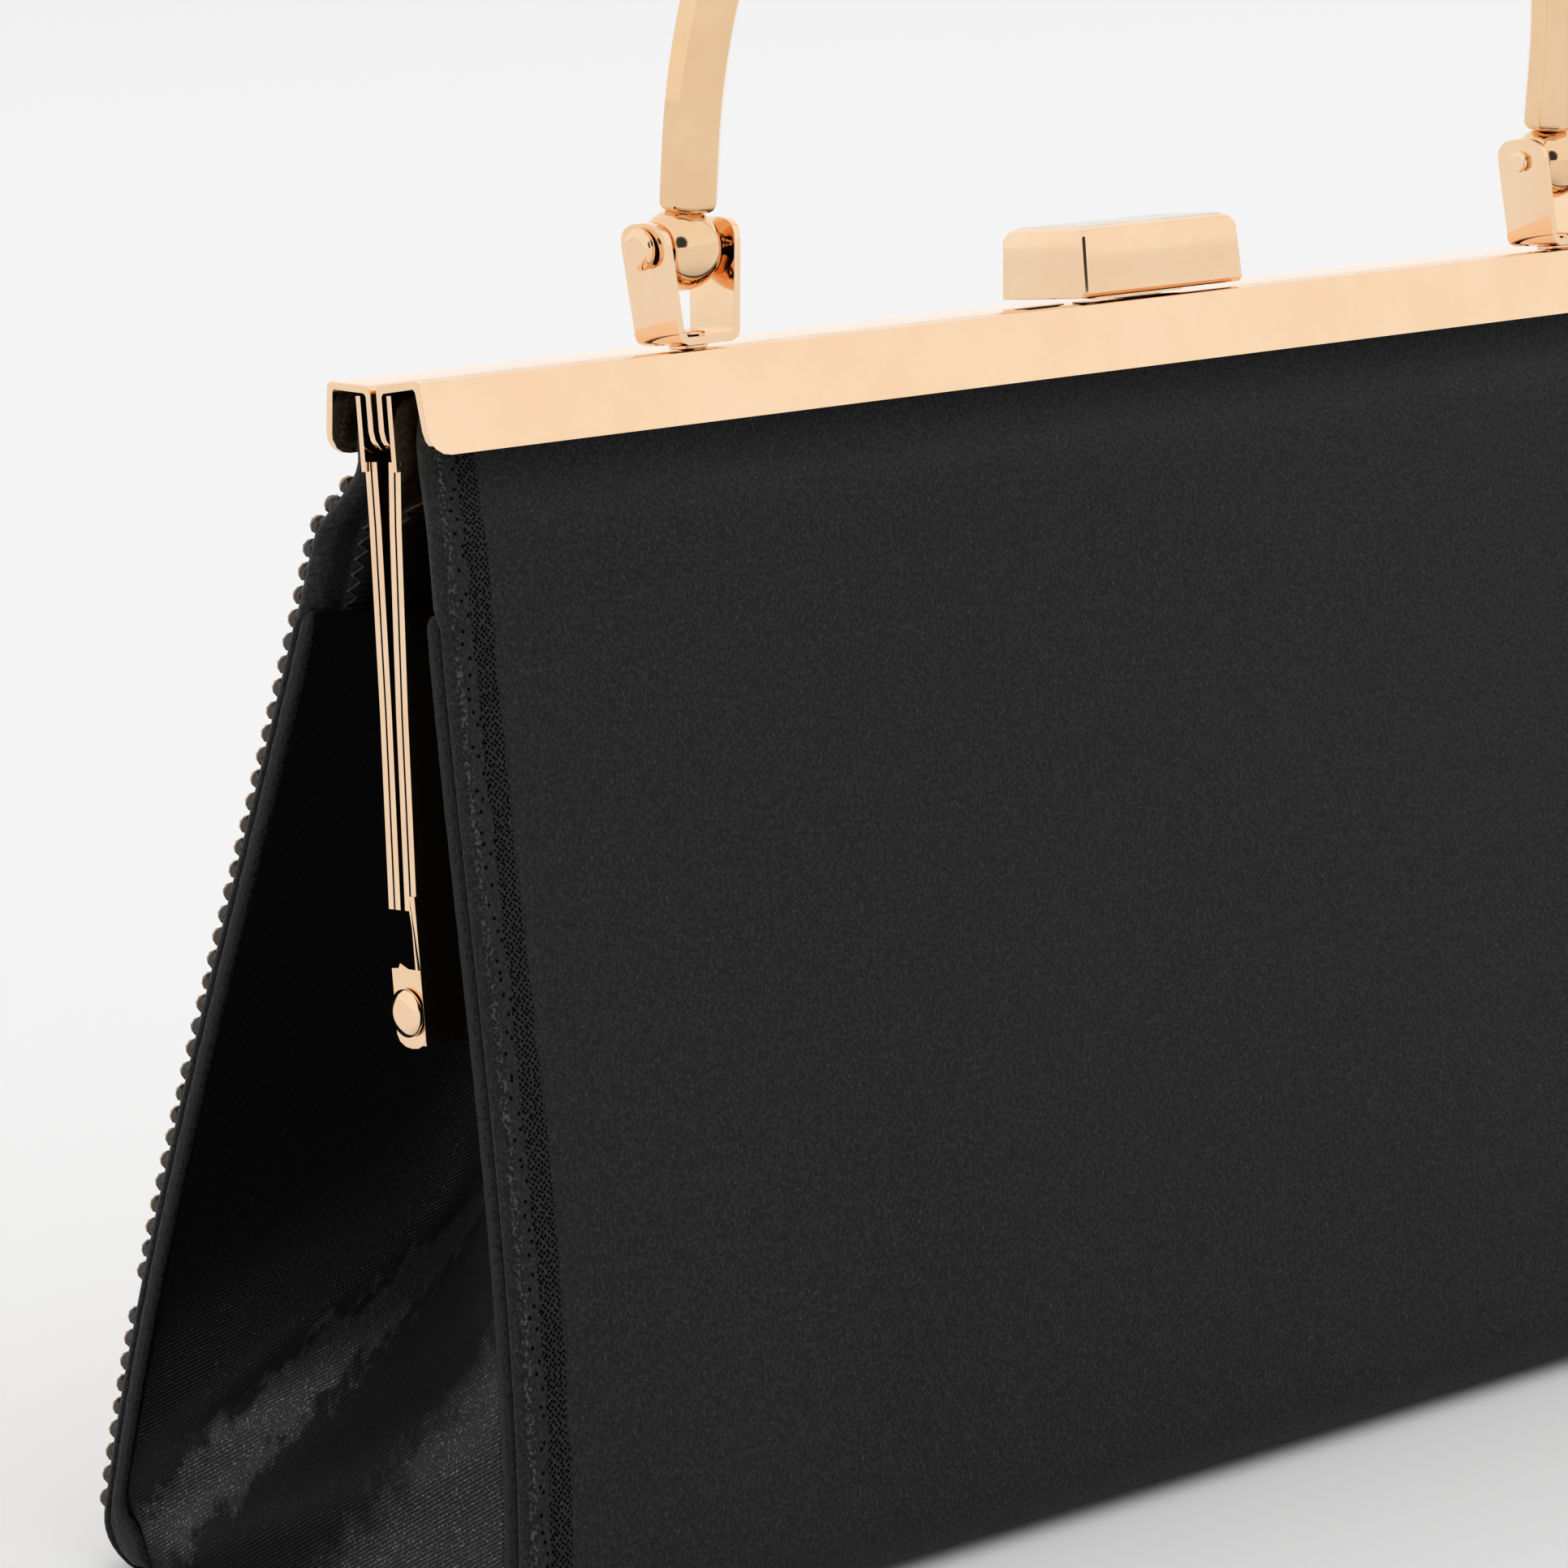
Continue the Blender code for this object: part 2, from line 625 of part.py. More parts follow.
def handle_pin(name, sign):
    """Pin through both ears: domed head on the outer ear, peened end on the inner one."""
    r = HANDLE_PIN_RADIUS
    ear = HANDLE_PIN_EAR
    profile = [
        (-ear - 0.45, 0.7), (-ear - 0.35, 1.15), (-ear, 1.2), (-ear + 0.001, r),
        (ear, r), (ear + 0.001, 2.1), (ear + 0.55, 2.1), (ear + 0.85, 1.8), (ear + 1.0, 1.2),
    ]
    centre = (sign * HANDLE_PIVOT_X, HANDLE_PIVOT_Y, HANDLE_PIVOT_Z)
    return turned(name, profile, centre, (sign, 0, 0), 32, ROSE_GOLD_LOOK)


for sign, hand in ((1, "right"), (-1, "left")):
    bracket("handle_bracket_" + hand, sign)
    bracket_rivet("bracket_rivet_" + hand, sign)
    handle_pin("handle_pin_" + hand, sign)
    rivet_hole = turned(
        "rivet_hole_" + hand, [(-4.0, 1.2), (2.0, 1.2)],
        (sign * HANDLE_PIVOT_X, HANDLE_PIVOT_Y, FRAME_TOP), (0, 0, 1), 32, None,
    )
    combine(rear_channel, rivet_hole, "DIFFERENCE")


# ---------------------------------------------------------------- handle

def lean(point):
    """Turn a point of the upright handle, given from the pivot line, to its resting lean."""
    x, y, z = point
    cos_a = math.cos(HANDLE_LEAN)
    sin_a = math.sin(HANDLE_LEAN)
    return (x, HANDLE_PIVOT_Y + y * cos_a + z * sin_a, HANDLE_PIVOT_Z - y * sin_a + z * cos_a)


def handle_path():
    """Stations of the arch: (x, height above pivot, direction angle, section scale)."""
    radius = HANDLE_PIVOT_X - 0.7
    stations = [(radius, HANDLE_LEG_LOW, 0.0, 0.86), (radius, HANDLE_LEG_LOW + 0.35, 0.0, 0.97)]
    stations += [(radius, HANDLE_LEG_LOW + 0.9, 0.0, 1.0)]
    steps = 40
    for k in range(steps + 1):
        angle = math.pi * k / steps
        height = HANDLE_STRAIGHT_TOP + radius * math.sin(angle)
        stations.append((radius * math.cos(angle), height, angle, 1.0))
    stations += [(-radius, HANDLE_LEG_LOW + 0.9, math.pi, 1.0)]
    stations += [(-radius, HANDLE_LEG_LOW + 0.35, math.pi, 0.97)]
    stations += [(-radius, HANDLE_LEG_LOW, math.pi, 0.86)]
    return stations


def handle_ring(station):
    """Eight-sided section with small flats at its corners, square to the path."""
    x, z, angle, scale = station
    outer = HANDLE_FLATS / 2.0 / math.cos(math.pi / 8.0) * scale
    ring = []
    for k in range(8):
        for nudge in (-0.09, 0.09):
            turn = math.pi / 8.0 + k * math.pi / 4.0 + nudge
            across = outer * math.cos(turn) * 0.99
            depth = outer * math.sin(turn) * 0.99
            ring.append(lean((x + across * math.cos(angle), depth, z + across * math.sin(angle))))
    return ring


handle_arch = loft("handle_arch", [handle_ring(s) for s in handle_path()], ROSE_GOLD_LOOK)


def ball_solid(name, sign, radius, half_length, sides, look):
    """Flat-sided ball, hung a little below the pivot line."""
    profile = []
    for k in range(17):
        along = half_length * (k / 8.0 - 1.0) * 0.9995
        profile.append((along, math.sqrt(radius ** 2 - along ** 2)))
    centre = lean((sign * HANDLE_PIVOT_X, 0.0, -BALL_DROP))
    return turned(name, profile, centre, (1, 0, 0), sides, look)


def handle_ball(name, sign):
    """Flat-sided ball at the end of the handle, cross bored for its pin, in the leg's cupped foot."""
    thing = ball_solid(name, sign, BALL_RADIUS, BALL_HALF_LENGTH, 40, ROSE_GOLD_LOOK)
    radius = HANDLE_PIN_RADIUS + RUNNING_GAP
    centre = (sign * HANDLE_PIVOT_X, HANDLE_PIVOT_Y, HANDLE_PIVOT_Z)
    bore = turned(name + "_bore", [(-5.0, radius), (5.0, radius)], centre, (1, 0, 0), 32, None)
    cup = ball_solid("cup_" + name, sign, BALL_RADIUS + CUP_GAP, BALL_RADIUS - 0.2, 40, None)
    combine(handle_arch, cup, "DIFFERENCE")
    return combine(thing, bore, "DIFFERENCE")


for sign, hand in ((1, "right"), (-1, "left")):
    handle_ball("handle_ball_" + hand, sign)


# ---------------------------------------------------------------- lock

def lock_ring(z, half_length, front, rear):
    r = 0.35
    ring = [
        (half_length - r, front), (half_length, front + r),
        (half_length, rear - r), (half_length - r, rear),
        (-half_length + r, rear), (-half_length, rear - r),
        (-half_length, front + r), (-half_length + r, front),
    ]
    return [(x, y, z) for x, y in ring]


lock_bar = loft(
    "lock_bar",
    [
        lock_ring(LOCK_LOW, LOCK_HALF_LENGTH, -LOCK_HALF_DEPTH, LOCK_HALF_DEPTH - 0.5),
        lock_ring(LOCK_LOW + 0.5, LOCK_HALF_LENGTH - 0.02, -LOCK_HALF_DEPTH, LOCK_HALF_DEPTH),
        lock_ring(LOCK_TOP - LOCK_EDGE, LOCK_HALF_LENGTH - LOCK_DRAFT, -LOCK_HALF_DEPTH + LOCK_DRAFT,
                  LOCK_HALF_DEPTH - LOCK_DRAFT),
        lock_ring(LOCK_TOP - 0.45, LOCK_HALF_LENGTH - LOCK_DRAFT - 0.42, -LOCK_HALF_DEPTH + LOCK_DRAFT + 0.42,
                  LOCK_HALF_DEPTH - LOCK_DRAFT - 0.42),
        lock_ring(LOCK_TOP, LOCK_HALF_LENGTH - LOCK_DRAFT - 1.25, -LOCK_HALF_DEPTH + LOCK_DRAFT + 1.25,
                  LOCK_HALF_DEPTH - LOCK_DRAFT - 1.25),
    ],
    ROSE_GOLD_LOOK,
)
lock_cavity = box(
    "lock_cavity",
    (-LOCK_HALF_LENGTH + LOCK_WALL, -LOCK_PIN_Y - 1.35, LOCK_LOW - 1.0),
    (LOCK_HALF_LENGTH - LOCK_WALL, LOCK_PIN_Y + 1.4, LOCK_TOP - LOCK_WALL - 0.1),
    None,
)
combine(lock_bar, lock_cavity, "DIFFERENCE")
lock_notch = box(
    "lock_notch",
    (-NOTCH_HALF_LENGTH, -LOCK_HALF_DEPTH - 1.0, LOCK_LOW - 1.0),
    (NOTCH_HALF_LENGTH, -LOCK_PIN_Y, NOTCH_TOP),
    None,
)
combine(lock_bar, lock_notch, "DIFFERENCE")
lock_pin_half = LOCK_HALF_LENGTH - LOCK_WALL + 0.4
lock_bore_radius = LOCK_PIN_RADIUS + PRESS_GAP
lock_bore = turned(
    "lock_bore",
    [(-lock_pin_half - 0.1, lock_bore_radius), (lock_pin_half + 0.1, lock_bore_radius)],
    (0, LOCK_PIN_Y, LOCK_PIN_Z), (1, 0, 0), 24, None,
)
combine(lock_bar, lock_bore, "DIFFERENCE")
lock_pin = turned(
    "lock_pin",
    [(-lock_pin_half, LOCK_PIN_RADIUS), (lock_pin_half, LOCK_PIN_RADIUS)],
    (0, LOCK_PIN_Y, LOCK_PIN_Z), (1, 0, 0), 24, STEEL_LOOK,
)

# Base: a foot strip with two swan-necked lugs, clear of the rear wall as the bar lifts.
lock_base = box("lock_base", (-6.4, 1.0, 118.1), (6.4, 2.5, 118.8), ROSE_GOLD_LOOK)
for sign in (1, -1):
    outline = [(1.15, 118.3), (2.45, 118.3)]
    for k in range(12):
        angle = math.radians(-40 + 200 * k / 11)
        along = LOCK_PIN_Y + LUG_RADIUS * math.cos(angle)
        outline.append((along, LOCK_PIN_Z + LUG_RADIUS * math.sin(angle)))
    low_x = sign * LUG_X - LUG_THICKNESS / 2
    lug = prism_x("lock_lug_" + str(sign + 1), outline, low_x, low_x + LUG_THICKNESS, None)
    combine(lock_base, lug, "UNION")
lug_bore = turned(
    "lug_bore",
    [(-8.0, LOCK_PIN_RADIUS + RUNNING_GAP), (8.0, LOCK_PIN_RADIUS + RUNNING_GAP)],
    (0, LOCK_PIN_Y, LOCK_PIN_Z), (1, 0, 0), 24, None,
)
combine(lock_base, lug_bore, "DIFFERENCE")


def coil(name, centre, coil_radius, wire_radius, length, turns, look):
    """Round-wire spring along X with capped ends."""
    steps = int(turns * 16)
    rings = []
    for k in range(steps + 1):
        angle = 2.0 * math.pi * turns * k / steps
        x = -length / 2.0 + length * k / steps
        out = Vector((0.0, math.cos(angle), math.sin(angle)))
        mid = Vector(centre) + Vector((x, 0.0, 0.0)) + out * coil_radius
        ring = []
        for j in range(6):
            turn = 2.0 * math.pi * j / 6
            side = Vector((wire_radius * math.sin(turn), 0, 0))
            ring.append(tuple(mid + out * wire_radius * math.cos(turn) + side))
        rings.append(ring)
    return loft(name, rings, look)


lock_spring = coil("lock_spring", (0, LOCK_PIN_Y, LOCK_PIN_Z), 0.95, 0.2, 7.6, 10, STEEL_LOOK)

keeper_outline = [
    (-5.3, 118.25), (-1.7, 118.05), (-1.7, 118.75), (-2.9, 118.9), (-2.9, 120.3), (-3.2, 120.7),
    (-3.7, 120.9), (-4.2, 120.7), (-4.5, 120.3), (-4.5, 118.95), (-5.3, 118.9),
]
lock_keeper = prism_x("lock_keeper", keeper_outline, -KEEPER_HALF_LENGTH, KEEPER_HALF_LENGTH, ROSE_GOLD_LOOK)

catch_outline = [
    (-5.2, 121.95), (-4.4, 121.6), (-3.0, 121.6), (-1.8, 122.1), (0.6, 123.2), (2.2, 123.2),
    (2.2, 123.6), (0.5, 123.6), (-2.0, 122.5), (-3.1, 122.0), (-4.3, 122.0), (-5.2, 122.35),
]
lock_catch = prism_x("lock_catch", catch_outline, -2.2, 2.2, STEEL_LOOK)
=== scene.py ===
import bmesh
import bpy
import json
import math
import numpy as np
from mathutils import Matrix, Vector

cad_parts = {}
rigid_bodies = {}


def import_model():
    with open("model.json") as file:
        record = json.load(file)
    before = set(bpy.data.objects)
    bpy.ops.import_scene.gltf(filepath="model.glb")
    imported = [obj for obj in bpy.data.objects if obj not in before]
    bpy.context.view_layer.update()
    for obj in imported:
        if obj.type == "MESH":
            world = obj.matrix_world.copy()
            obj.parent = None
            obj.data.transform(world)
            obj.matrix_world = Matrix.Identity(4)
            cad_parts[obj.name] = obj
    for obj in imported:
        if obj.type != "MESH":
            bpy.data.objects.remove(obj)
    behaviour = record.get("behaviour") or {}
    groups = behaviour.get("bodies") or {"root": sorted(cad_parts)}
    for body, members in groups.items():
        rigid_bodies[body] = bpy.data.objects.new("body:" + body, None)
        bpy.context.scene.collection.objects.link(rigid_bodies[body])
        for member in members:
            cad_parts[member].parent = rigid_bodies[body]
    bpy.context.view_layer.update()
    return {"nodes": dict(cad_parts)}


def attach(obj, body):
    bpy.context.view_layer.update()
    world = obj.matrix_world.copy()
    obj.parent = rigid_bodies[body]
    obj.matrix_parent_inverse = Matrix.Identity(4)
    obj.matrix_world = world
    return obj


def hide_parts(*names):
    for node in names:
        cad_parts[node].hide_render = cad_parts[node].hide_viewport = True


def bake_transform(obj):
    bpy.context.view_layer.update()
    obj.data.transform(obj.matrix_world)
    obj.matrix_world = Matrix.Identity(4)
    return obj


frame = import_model()

MM = 0.001
NODES = frame["nodes"]

# Body profile in millimetres, the same as the CAD's.
BASE_HALF_LENGTH = 120.6
END_FLARE = 0.187
SEAM_TOP_Z = 97.0
SEAM_DEPTHS = (31.2, 7.9)
SEAM_SLOPES = (-0.06, -0.26)
PANEL_PROUD = 4.6
PANEL_THICKNESS = 3.4
PANEL_TOP = 115.9
NECK_Z = (103.0, 110.8)
NECK_Y = 6.5
NECK_HALF_LENGTH = 98.5
CORNER = 6.0
GUSSET_TOP = 96.0
FOLD_X = 93.5

rng = np.random.default_rng(20)


# ---------------------------------------------------------------- number helpers

def ease(value):
    """Cubic ease from 0 to 1, for numbers or arrays."""
    value = np.clip(value, 0.0, 1.0)
    return value * value * (3.0 - 2.0 * value)


def mix(a, b, weight):
    return a + (b - a) * weight


def seam_half_depth(z):
    s = np.minimum(z, SEAM_TOP_Z) / SEAM_TOP_Z
    curve = (2 * s ** 3 - 3 * s ** 2 + 1) * SEAM_DEPTHS[0] + (3 * s ** 2 - 2 * s ** 3) * SEAM_DEPTHS[1]
    curve += ((s ** 3 - 2 * s ** 2 + s) * SEAM_SLOPES[0] + (s ** 3 - s ** 2) * SEAM_SLOPES[1]) * SEAM_TOP_Z
    return curve + SEAM_SLOPES[1] * np.maximum(z - SEAM_TOP_Z, 0.0)


def neck(z):
    return ease((z - NECK_Z[0]) / (NECK_Z[1] - NECK_Z[0]))


def panel_outer(z):
    drop = np.maximum(CORNER - z, 0.0)
    face = mix(seam_half_depth(z) + PANEL_PROUD, NECK_Y, neck(z))
    return face - (CORNER - np.sqrt(CORNER ** 2 - drop ** 2))


def panel_inner(z):
    face = mix(seam_half_depth(z) + PANEL_PROUD, NECK_Y, neck(z)) - PANEL_THICKNESS
    return mix(28.3, face, ease((z - PANEL_THICKNESS) / 4.0))


def panel_half_length(z):
    length = mix(BASE_HALF_LENGTH - END_FLARE * z, NECK_HALF_LENGTH, neck(z))
    return length - 2.0 * np.maximum(1.0 - z / CORNER, 0.0) ** 2


def ripple(x, z, phase):
    """Faint unevenness of cloth over board, in millimetres."""
    wave = 0.6 * np.sin(x / 17.0 + phase) * np.sin(z / 23.0 + 1.3 * phase)
    wave += 0.4 * np.sin(x / 7.3 - z / 11.0 + phase) * np.sin(z / 9.1 + x / 31.0)
    return 0.07 * wave


# ---------------------------------------------------------------- mesh helpers

def mesh_piece(name, points, faces, smooth=True, attributes=None):
    """Mesh object from millimetre points. attributes holds an (n, 3) array for each name."""
    mesh = bpy.data.meshes.new(name)
    mesh.from_pydata((np.asarray(points, float) * MM).tolist(), [], faces)
    for key, values in (attributes or {}).items():
        layer = mesh.attributes.new(key, "FLOAT_VECTOR", "POINT")
        layer.data.foreach_set("vector", np.asarray(values, np.float32).ravel())
    shape = bmesh.new()
    shape.from_mesh(mesh)
    bmesh.ops.recalc_face_normals(shape, faces=shape.faces)
    shape.to_mesh(mesh)
    shape.free()
    mesh.polygons.foreach_set("use_smooth", [smooth] * len(mesh.polygons))
    thing = bpy.data.objects.new(name, mesh)
    bpy.context.scene.collection.objects.link(thing)
    return thing


def grid_faces(rows, columns, offset=0, wrap=False):
    """Quads of a rows x columns lattice of points."""
    faces = []
    for r in range(rows - 1):
        for c in range(columns if wrap else columns - 1):
            a = offset + r * columns + c
            b = offset + r * columns + (c + 1) % columns
            faces.append((a, b, b + columns, a + columns))
    return faces


def closed_sheet(name, outer, inner, cloth):
    """Closed thin leaf between two equal lattices of points, shape (rows, columns, 3)."""
    rows, columns = outer.shape[:2]
    size = rows * columns
    faces = grid_faces(rows, columns)
    faces += [tuple(reversed([i + size for i in f])) for f in grid_faces(rows, columns)]
    rim = list(range(columns)) + [r * columns + columns - 1 for r in range(1, rows)]
    rim += [(rows - 1) * columns + c for c in range(columns - 2, -1, -1)]
    rim += [r * columns for r in range(rows - 2, 0, -1)]
    for a, b in zip(rim, rim[1:] + rim[:1]):
        faces.append((a, a + size, b + size, b))
    points = np.concatenate([outer.reshape(-1, 3), inner.reshape(-1, 3)])
    marks = np.concatenate([cloth.reshape(-1, 3)] * 2)
    return mesh_piece(name, points, faces, attributes={"cloth": marks})


def ringed(name, rings, marks=None, smooth=True):
    """Closed solid from equal rings with flat end caps."""
    rings = np.asarray(rings, float)
    rows, columns = rings.shape[:2]
    faces = grid_faces(rows, columns, wrap=True)
    faces.append(tuple(range(columns)))
    faces.append(tuple(range((rows - 1) * columns, rows * columns)))
    extra = None if marks is None else {"cloth": np.asarray(marks).reshape(-1, 3)}
    return mesh_piece(name, rings.reshape(-1, 3), faces, smooth, extra)


def tube(path, radius, sides=6):
    """Rings of a round thread along a path of millimetre points."""
    path = np.asarray(path, float)
    ahead = np.gradient(path, axis=0)
    ahead /= np.linalg.norm(ahead, axis=1, keepdims=True)
    side = np.cross(ahead, (0.31, 0.89, 0.33))
    side /= np.linalg.norm(side, axis=1, keepdims=True)
    up = np.cross(ahead, side)
    turn = np.arange(sides) * 2 * math.pi / sides
    spokes = np.cos(turn)[None, :, None] * side[:, None] + np.sin(turn)[None, :, None] * up[:, None]
    return path[:, None] + spokes * radius


# ---------------------------------------------------------------- material helpers

class Graph:
    """Short calls for building one material's nodes."""

    def __init__(self, name, **surface):
        self.material = bpy.data.materials.new(name)
        self.material.use_nodes = True
        self.tree = self.material.node_tree
        self.shader = self.tree.nodes["Principled BSDF"]
        self.set(**surface)

    def set(self, **surface):
        """Sockets of the shader by name, with _ for a space: a value or another node's output."""
        for key, value in surface.items():
            self.plug(self.shader.inputs[key.replace("_", " ")], value)

    def plug(self, socket, value):
        if isinstance(value, bpy.types.NodeSocket):
            self.tree.links.new(value, socket)
        else:
            socket.default_value = value

    def node(self, kind, inputs=None, **settings):
        made = self.tree.nodes.new(kind)
        for key, value in settings.items():
            setattr(made, key, value)
        for key, value in (inputs or {}).items():
            self.plug(made.inputs[key], value)
        return made

    def calc(self, operation, a, b=0.0, c=None):
        made = self.node("ShaderNodeMath", operation=operation)
        for socket, value in zip(made.inputs, (a, b, 0.0 if c is None else c)):
            self.plug(socket, value)
        return made.outputs[0]

    def remap(self, value, low, high, to_low=0.0, to_high=1.0, kind="SMOOTHSTEP"):
        inputs = {"Value": value, "From Min": low, "From Max": high, "To Min": to_low, "To Max": to_high}
        return self.node("ShaderNodeMapRange", inputs, interpolation_type=kind).outputs[0]

    def blend(self, weight, a, b):
        made = self.node("ShaderNodeMix", data_type="RGBA")
        for index, value in ((0, weight), (6, a), (7, b)):
            self.plug(made.inputs[index], value)
        return made.outputs[2]

    def marks(self):
        """The cloth attribute as (across, along, from the edge), in millimetres."""
        vector = self.node("ShaderNodeAttribute", attribute_name="cloth").outputs["Vector"]
        parts = self.node("ShaderNodeSeparateXYZ", {"Vector": vector})
        return vector, parts.outputs[0], parts.outputs[1], parts.outputs[2]

    def noise(self, vector, scale, detail=2.0, roughness=0.5):
        inputs = {"Vector": vector, "Scale": scale, "Detail": detail, "Roughness": roughness}
        return self.node("ShaderNodeTexNoise", inputs).outputs["Fac"]

    def bump(self, height, distance_mm, strength=1.0, normal=None):
        inputs = {"Height": height, "Distance": distance_mm * MM, "Strength": strength}
        if normal is not None:
            inputs["Normal"] = normal
        return self.node("ShaderNodeBump", inputs).outputs[0]

    def weave(self, across, along, pitch):
        """Height of a plain weave of that pitch in millimetres, from 0 to 1."""
        warp = self.calc("SINE", self.calc("MULTIPLY", across, 2 * math.pi / pitch))
        weft = self.calc("SINE", self.calc("MULTIPLY", along, 2 * math.pi / pitch))
        return self.calc("MULTIPLY_ADD", self.calc("MULTIPLY", warp, weft), 0.5, 0.5)


def object_mm(graph):
    """Object coordinates in millimetres."""
    place = graph.node("ShaderNodeTexCoord").outputs["Object"]
    return graph.node("ShaderNodeVectorMath", {0: place, 3: 1000.0}, operation="SCALE").outputs[0]


def panel_satin():
    """Black crepe satin, with the bands of pin holes that run beside the end seams."""
    g = Graph("panel_satin", Sheen_Weight=0.03, Sheen_Roughness=0.4)
    vector, across, along, inset = g.marks()
    grain = g.noise(vector, 2.3, 3.0, 0.6)
    weave = g.weave(across, along, 0.44)
    surface = g.calc("MULTIPLY_ADD", grain, 1.3, weave)
    # Pin holes on a diamond lattice, in a band about 3 mm in from the seam.
    lattice = g.node("ShaderNodeCombineXYZ", {0: inset, 1: along}).outputs[0]
    diamond = {"Vector": lattice, "Rotation": (0, 0, math.pi / 4), "Scale": (2.2, 2.2, 1)}
    turned = g.node("ShaderNodeMapping", diamond)
    cells = g.node("ShaderNodeTexVoronoi", {"Vector": turned.outputs[0], "Scale": 1.0, "Randomness": 0.45},
                   voronoi_dimensions="2D")
    holes = g.remap(cells.outputs["Distance"], 0.24, 0.4, 1.0, 0.0)
    wander = g.calc("MULTIPLY_ADD", g.noise(vector, 0.22, 2.0), 1.1, inset)
    band = g.calc("MULTIPLY", g.remap(wander, 3.1, 3.3), g.remap(wander, 5.5, 5.9, 1.0, 0.0))
    # A sparse row of single pricks nearer the seam.
    sparse = g.node("ShaderNodeTexVoronoi", {"Vector": lattice, "Scale": 0.75, "Randomness": 0.8},
                    voronoi_dimensions="2D")
    pricks = g.remap(sparse.outputs["Distance"], 0.08, 0.2, 1.0, 0.0)
    strip = g.calc("MULTIPLY", g.remap(inset, 1.0, 1.4), g.remap(inset, 3.0, 3.4, 1.0, 0.0))
    marks = g.calc("MAXIMUM", g.calc("MULTIPLY", holes, band), g.calc("MULTIPLY", pricks, strip))
    # Stray lint, a painted highlight of light specks along the cloth's edge, and a slow change of tone over
    # the cloth.
    lint_and_painted_edge_highlight = g.remap(g.noise(vector, 2.4, 1.0), 0.68, 0.76)
    cloud = g.noise(vector, 0.02, 3.0)
    tone = g.blend(cloud, (0.0062, 0.0064, 0.0068, 1), (0.0105, 0.0107, 0.0112, 1))
    tone = g.blend(g.remap(grain, 0.4, 0.66), tone, g.blend(0.6, tone, (0.03, 0.03, 0.0305, 1)))
    # The edge specks are a painted highlight: light grey specks in a thin strip near the seam.
    edge = g.calc("MULTIPLY", g.remap(inset, 0.2, 0.7), g.remap(inset, 0.9, 1.5, 1.0, 0.0))
    painted_edge_highlight = g.calc("MULTIPLY", edge, g.remap(grain, 0.5, 0.64, 0.0, 0.6))
    lint_and_painted_edge_highlight = g.calc("MAXIMUM", g.calc("MULTIPLY", lint_and_painted_edge_highlight, 0.3), painted_edge_highlight)
    tone = g.blend(lint_and_painted_edge_highlight, tone, (0.11, 0.11, 0.11, 1))
    tone = g.blend(marks, tone, (0.0006, 0.0006, 0.0006, 1))
    height = g.calc("MULTIPLY_ADD", marks, -5.0, surface)
    rough = g.calc("MULTIPLY_ADD", marks, 0.3, g.remap(grain, 0.3, 0.7, 0.56, 0.44))
    g.set(Base_Color=tone, Roughness=rough, Normal=g.bump(height, 0.025))
    g.set(Specular_IOR_Level=g.calc("MULTIPLY_ADD", marks, -0.11, 0.11))
    return g.material


def gusset_satin():
    """Loosely woven black satin with sparkling floats, and a painted highlight along one fold."""
    g = Graph("gusset_satin", Sheen_Weight=0.0)
    vector, across, along, _ = g.marks()
    twill = g.calc("ADD", along, g.calc("MULTIPLY", across, 0.5))
    weave = g.weave(across, twill, 0.42)
    grain = g.noise(vector, 2.6, 2.0, 0.6)
    sparks = g.remap(g.noise(vector, 3.4, 1.0), 0.56, 0.68)
    # Along one slanting fold and in the low rear corner the floats get a painted highlight: a lighter base
    # colour and a higher specular level.
    climb = g.calc("MULTIPLY_ADD", across, -1.0, g.calc("SUBTRACT", along, 29.0))
    rough_edge = g.calc("MULTIPLY_ADD", g.noise(vector, 0.35, 3.0, 0.7), 16.0, g.calc("SUBTRACT", climb, 8.0))
    fold = g.calc("MULTIPLY", g.remap(rough_edge, -7.0, -2.0), g.remap(rough_edge, 3.0, 7.0, 1.0, 0.0))
    corner = g.remap(rough_edge, -34.0, -21.0, 1.0, 0.0)
    lit = g.calc("MAXIMUM", g.calc("MAXIMUM", fold, corner), 0.06)
    tone = g.blend(weave, (0.0004, 0.0004, 0.0005, 1), (0.0026, 0.0026, 0.0028, 1))
    # Painted highlight: the base colour of the floats in those places is lifted to grey.
    tone = g.blend(g.calc("MULTIPLY", g.calc("MULTIPLY", sparks, lit), 0.16), tone, (0.03, 0.03, 0.031, 1))
    shine = g.calc("MULTIPLY", lit, g.calc("MULTIPLY_ADD", sparks, 0.16, 0.06))
    g.set(Specular_IOR_Level=g.calc("ADD", shine, 0.012))
    rough = g.calc("MULTIPLY_ADD", sparks, -0.14, g.remap(grain, 0.3, 0.7, 0.46, 0.36))
    height = g.calc("MULTIPLY_ADD", grain, 0.8, weave)
    g.set(Base_Color=tone, Roughness=rough, Normal=g.bump(height, 0.05))
    return g.material


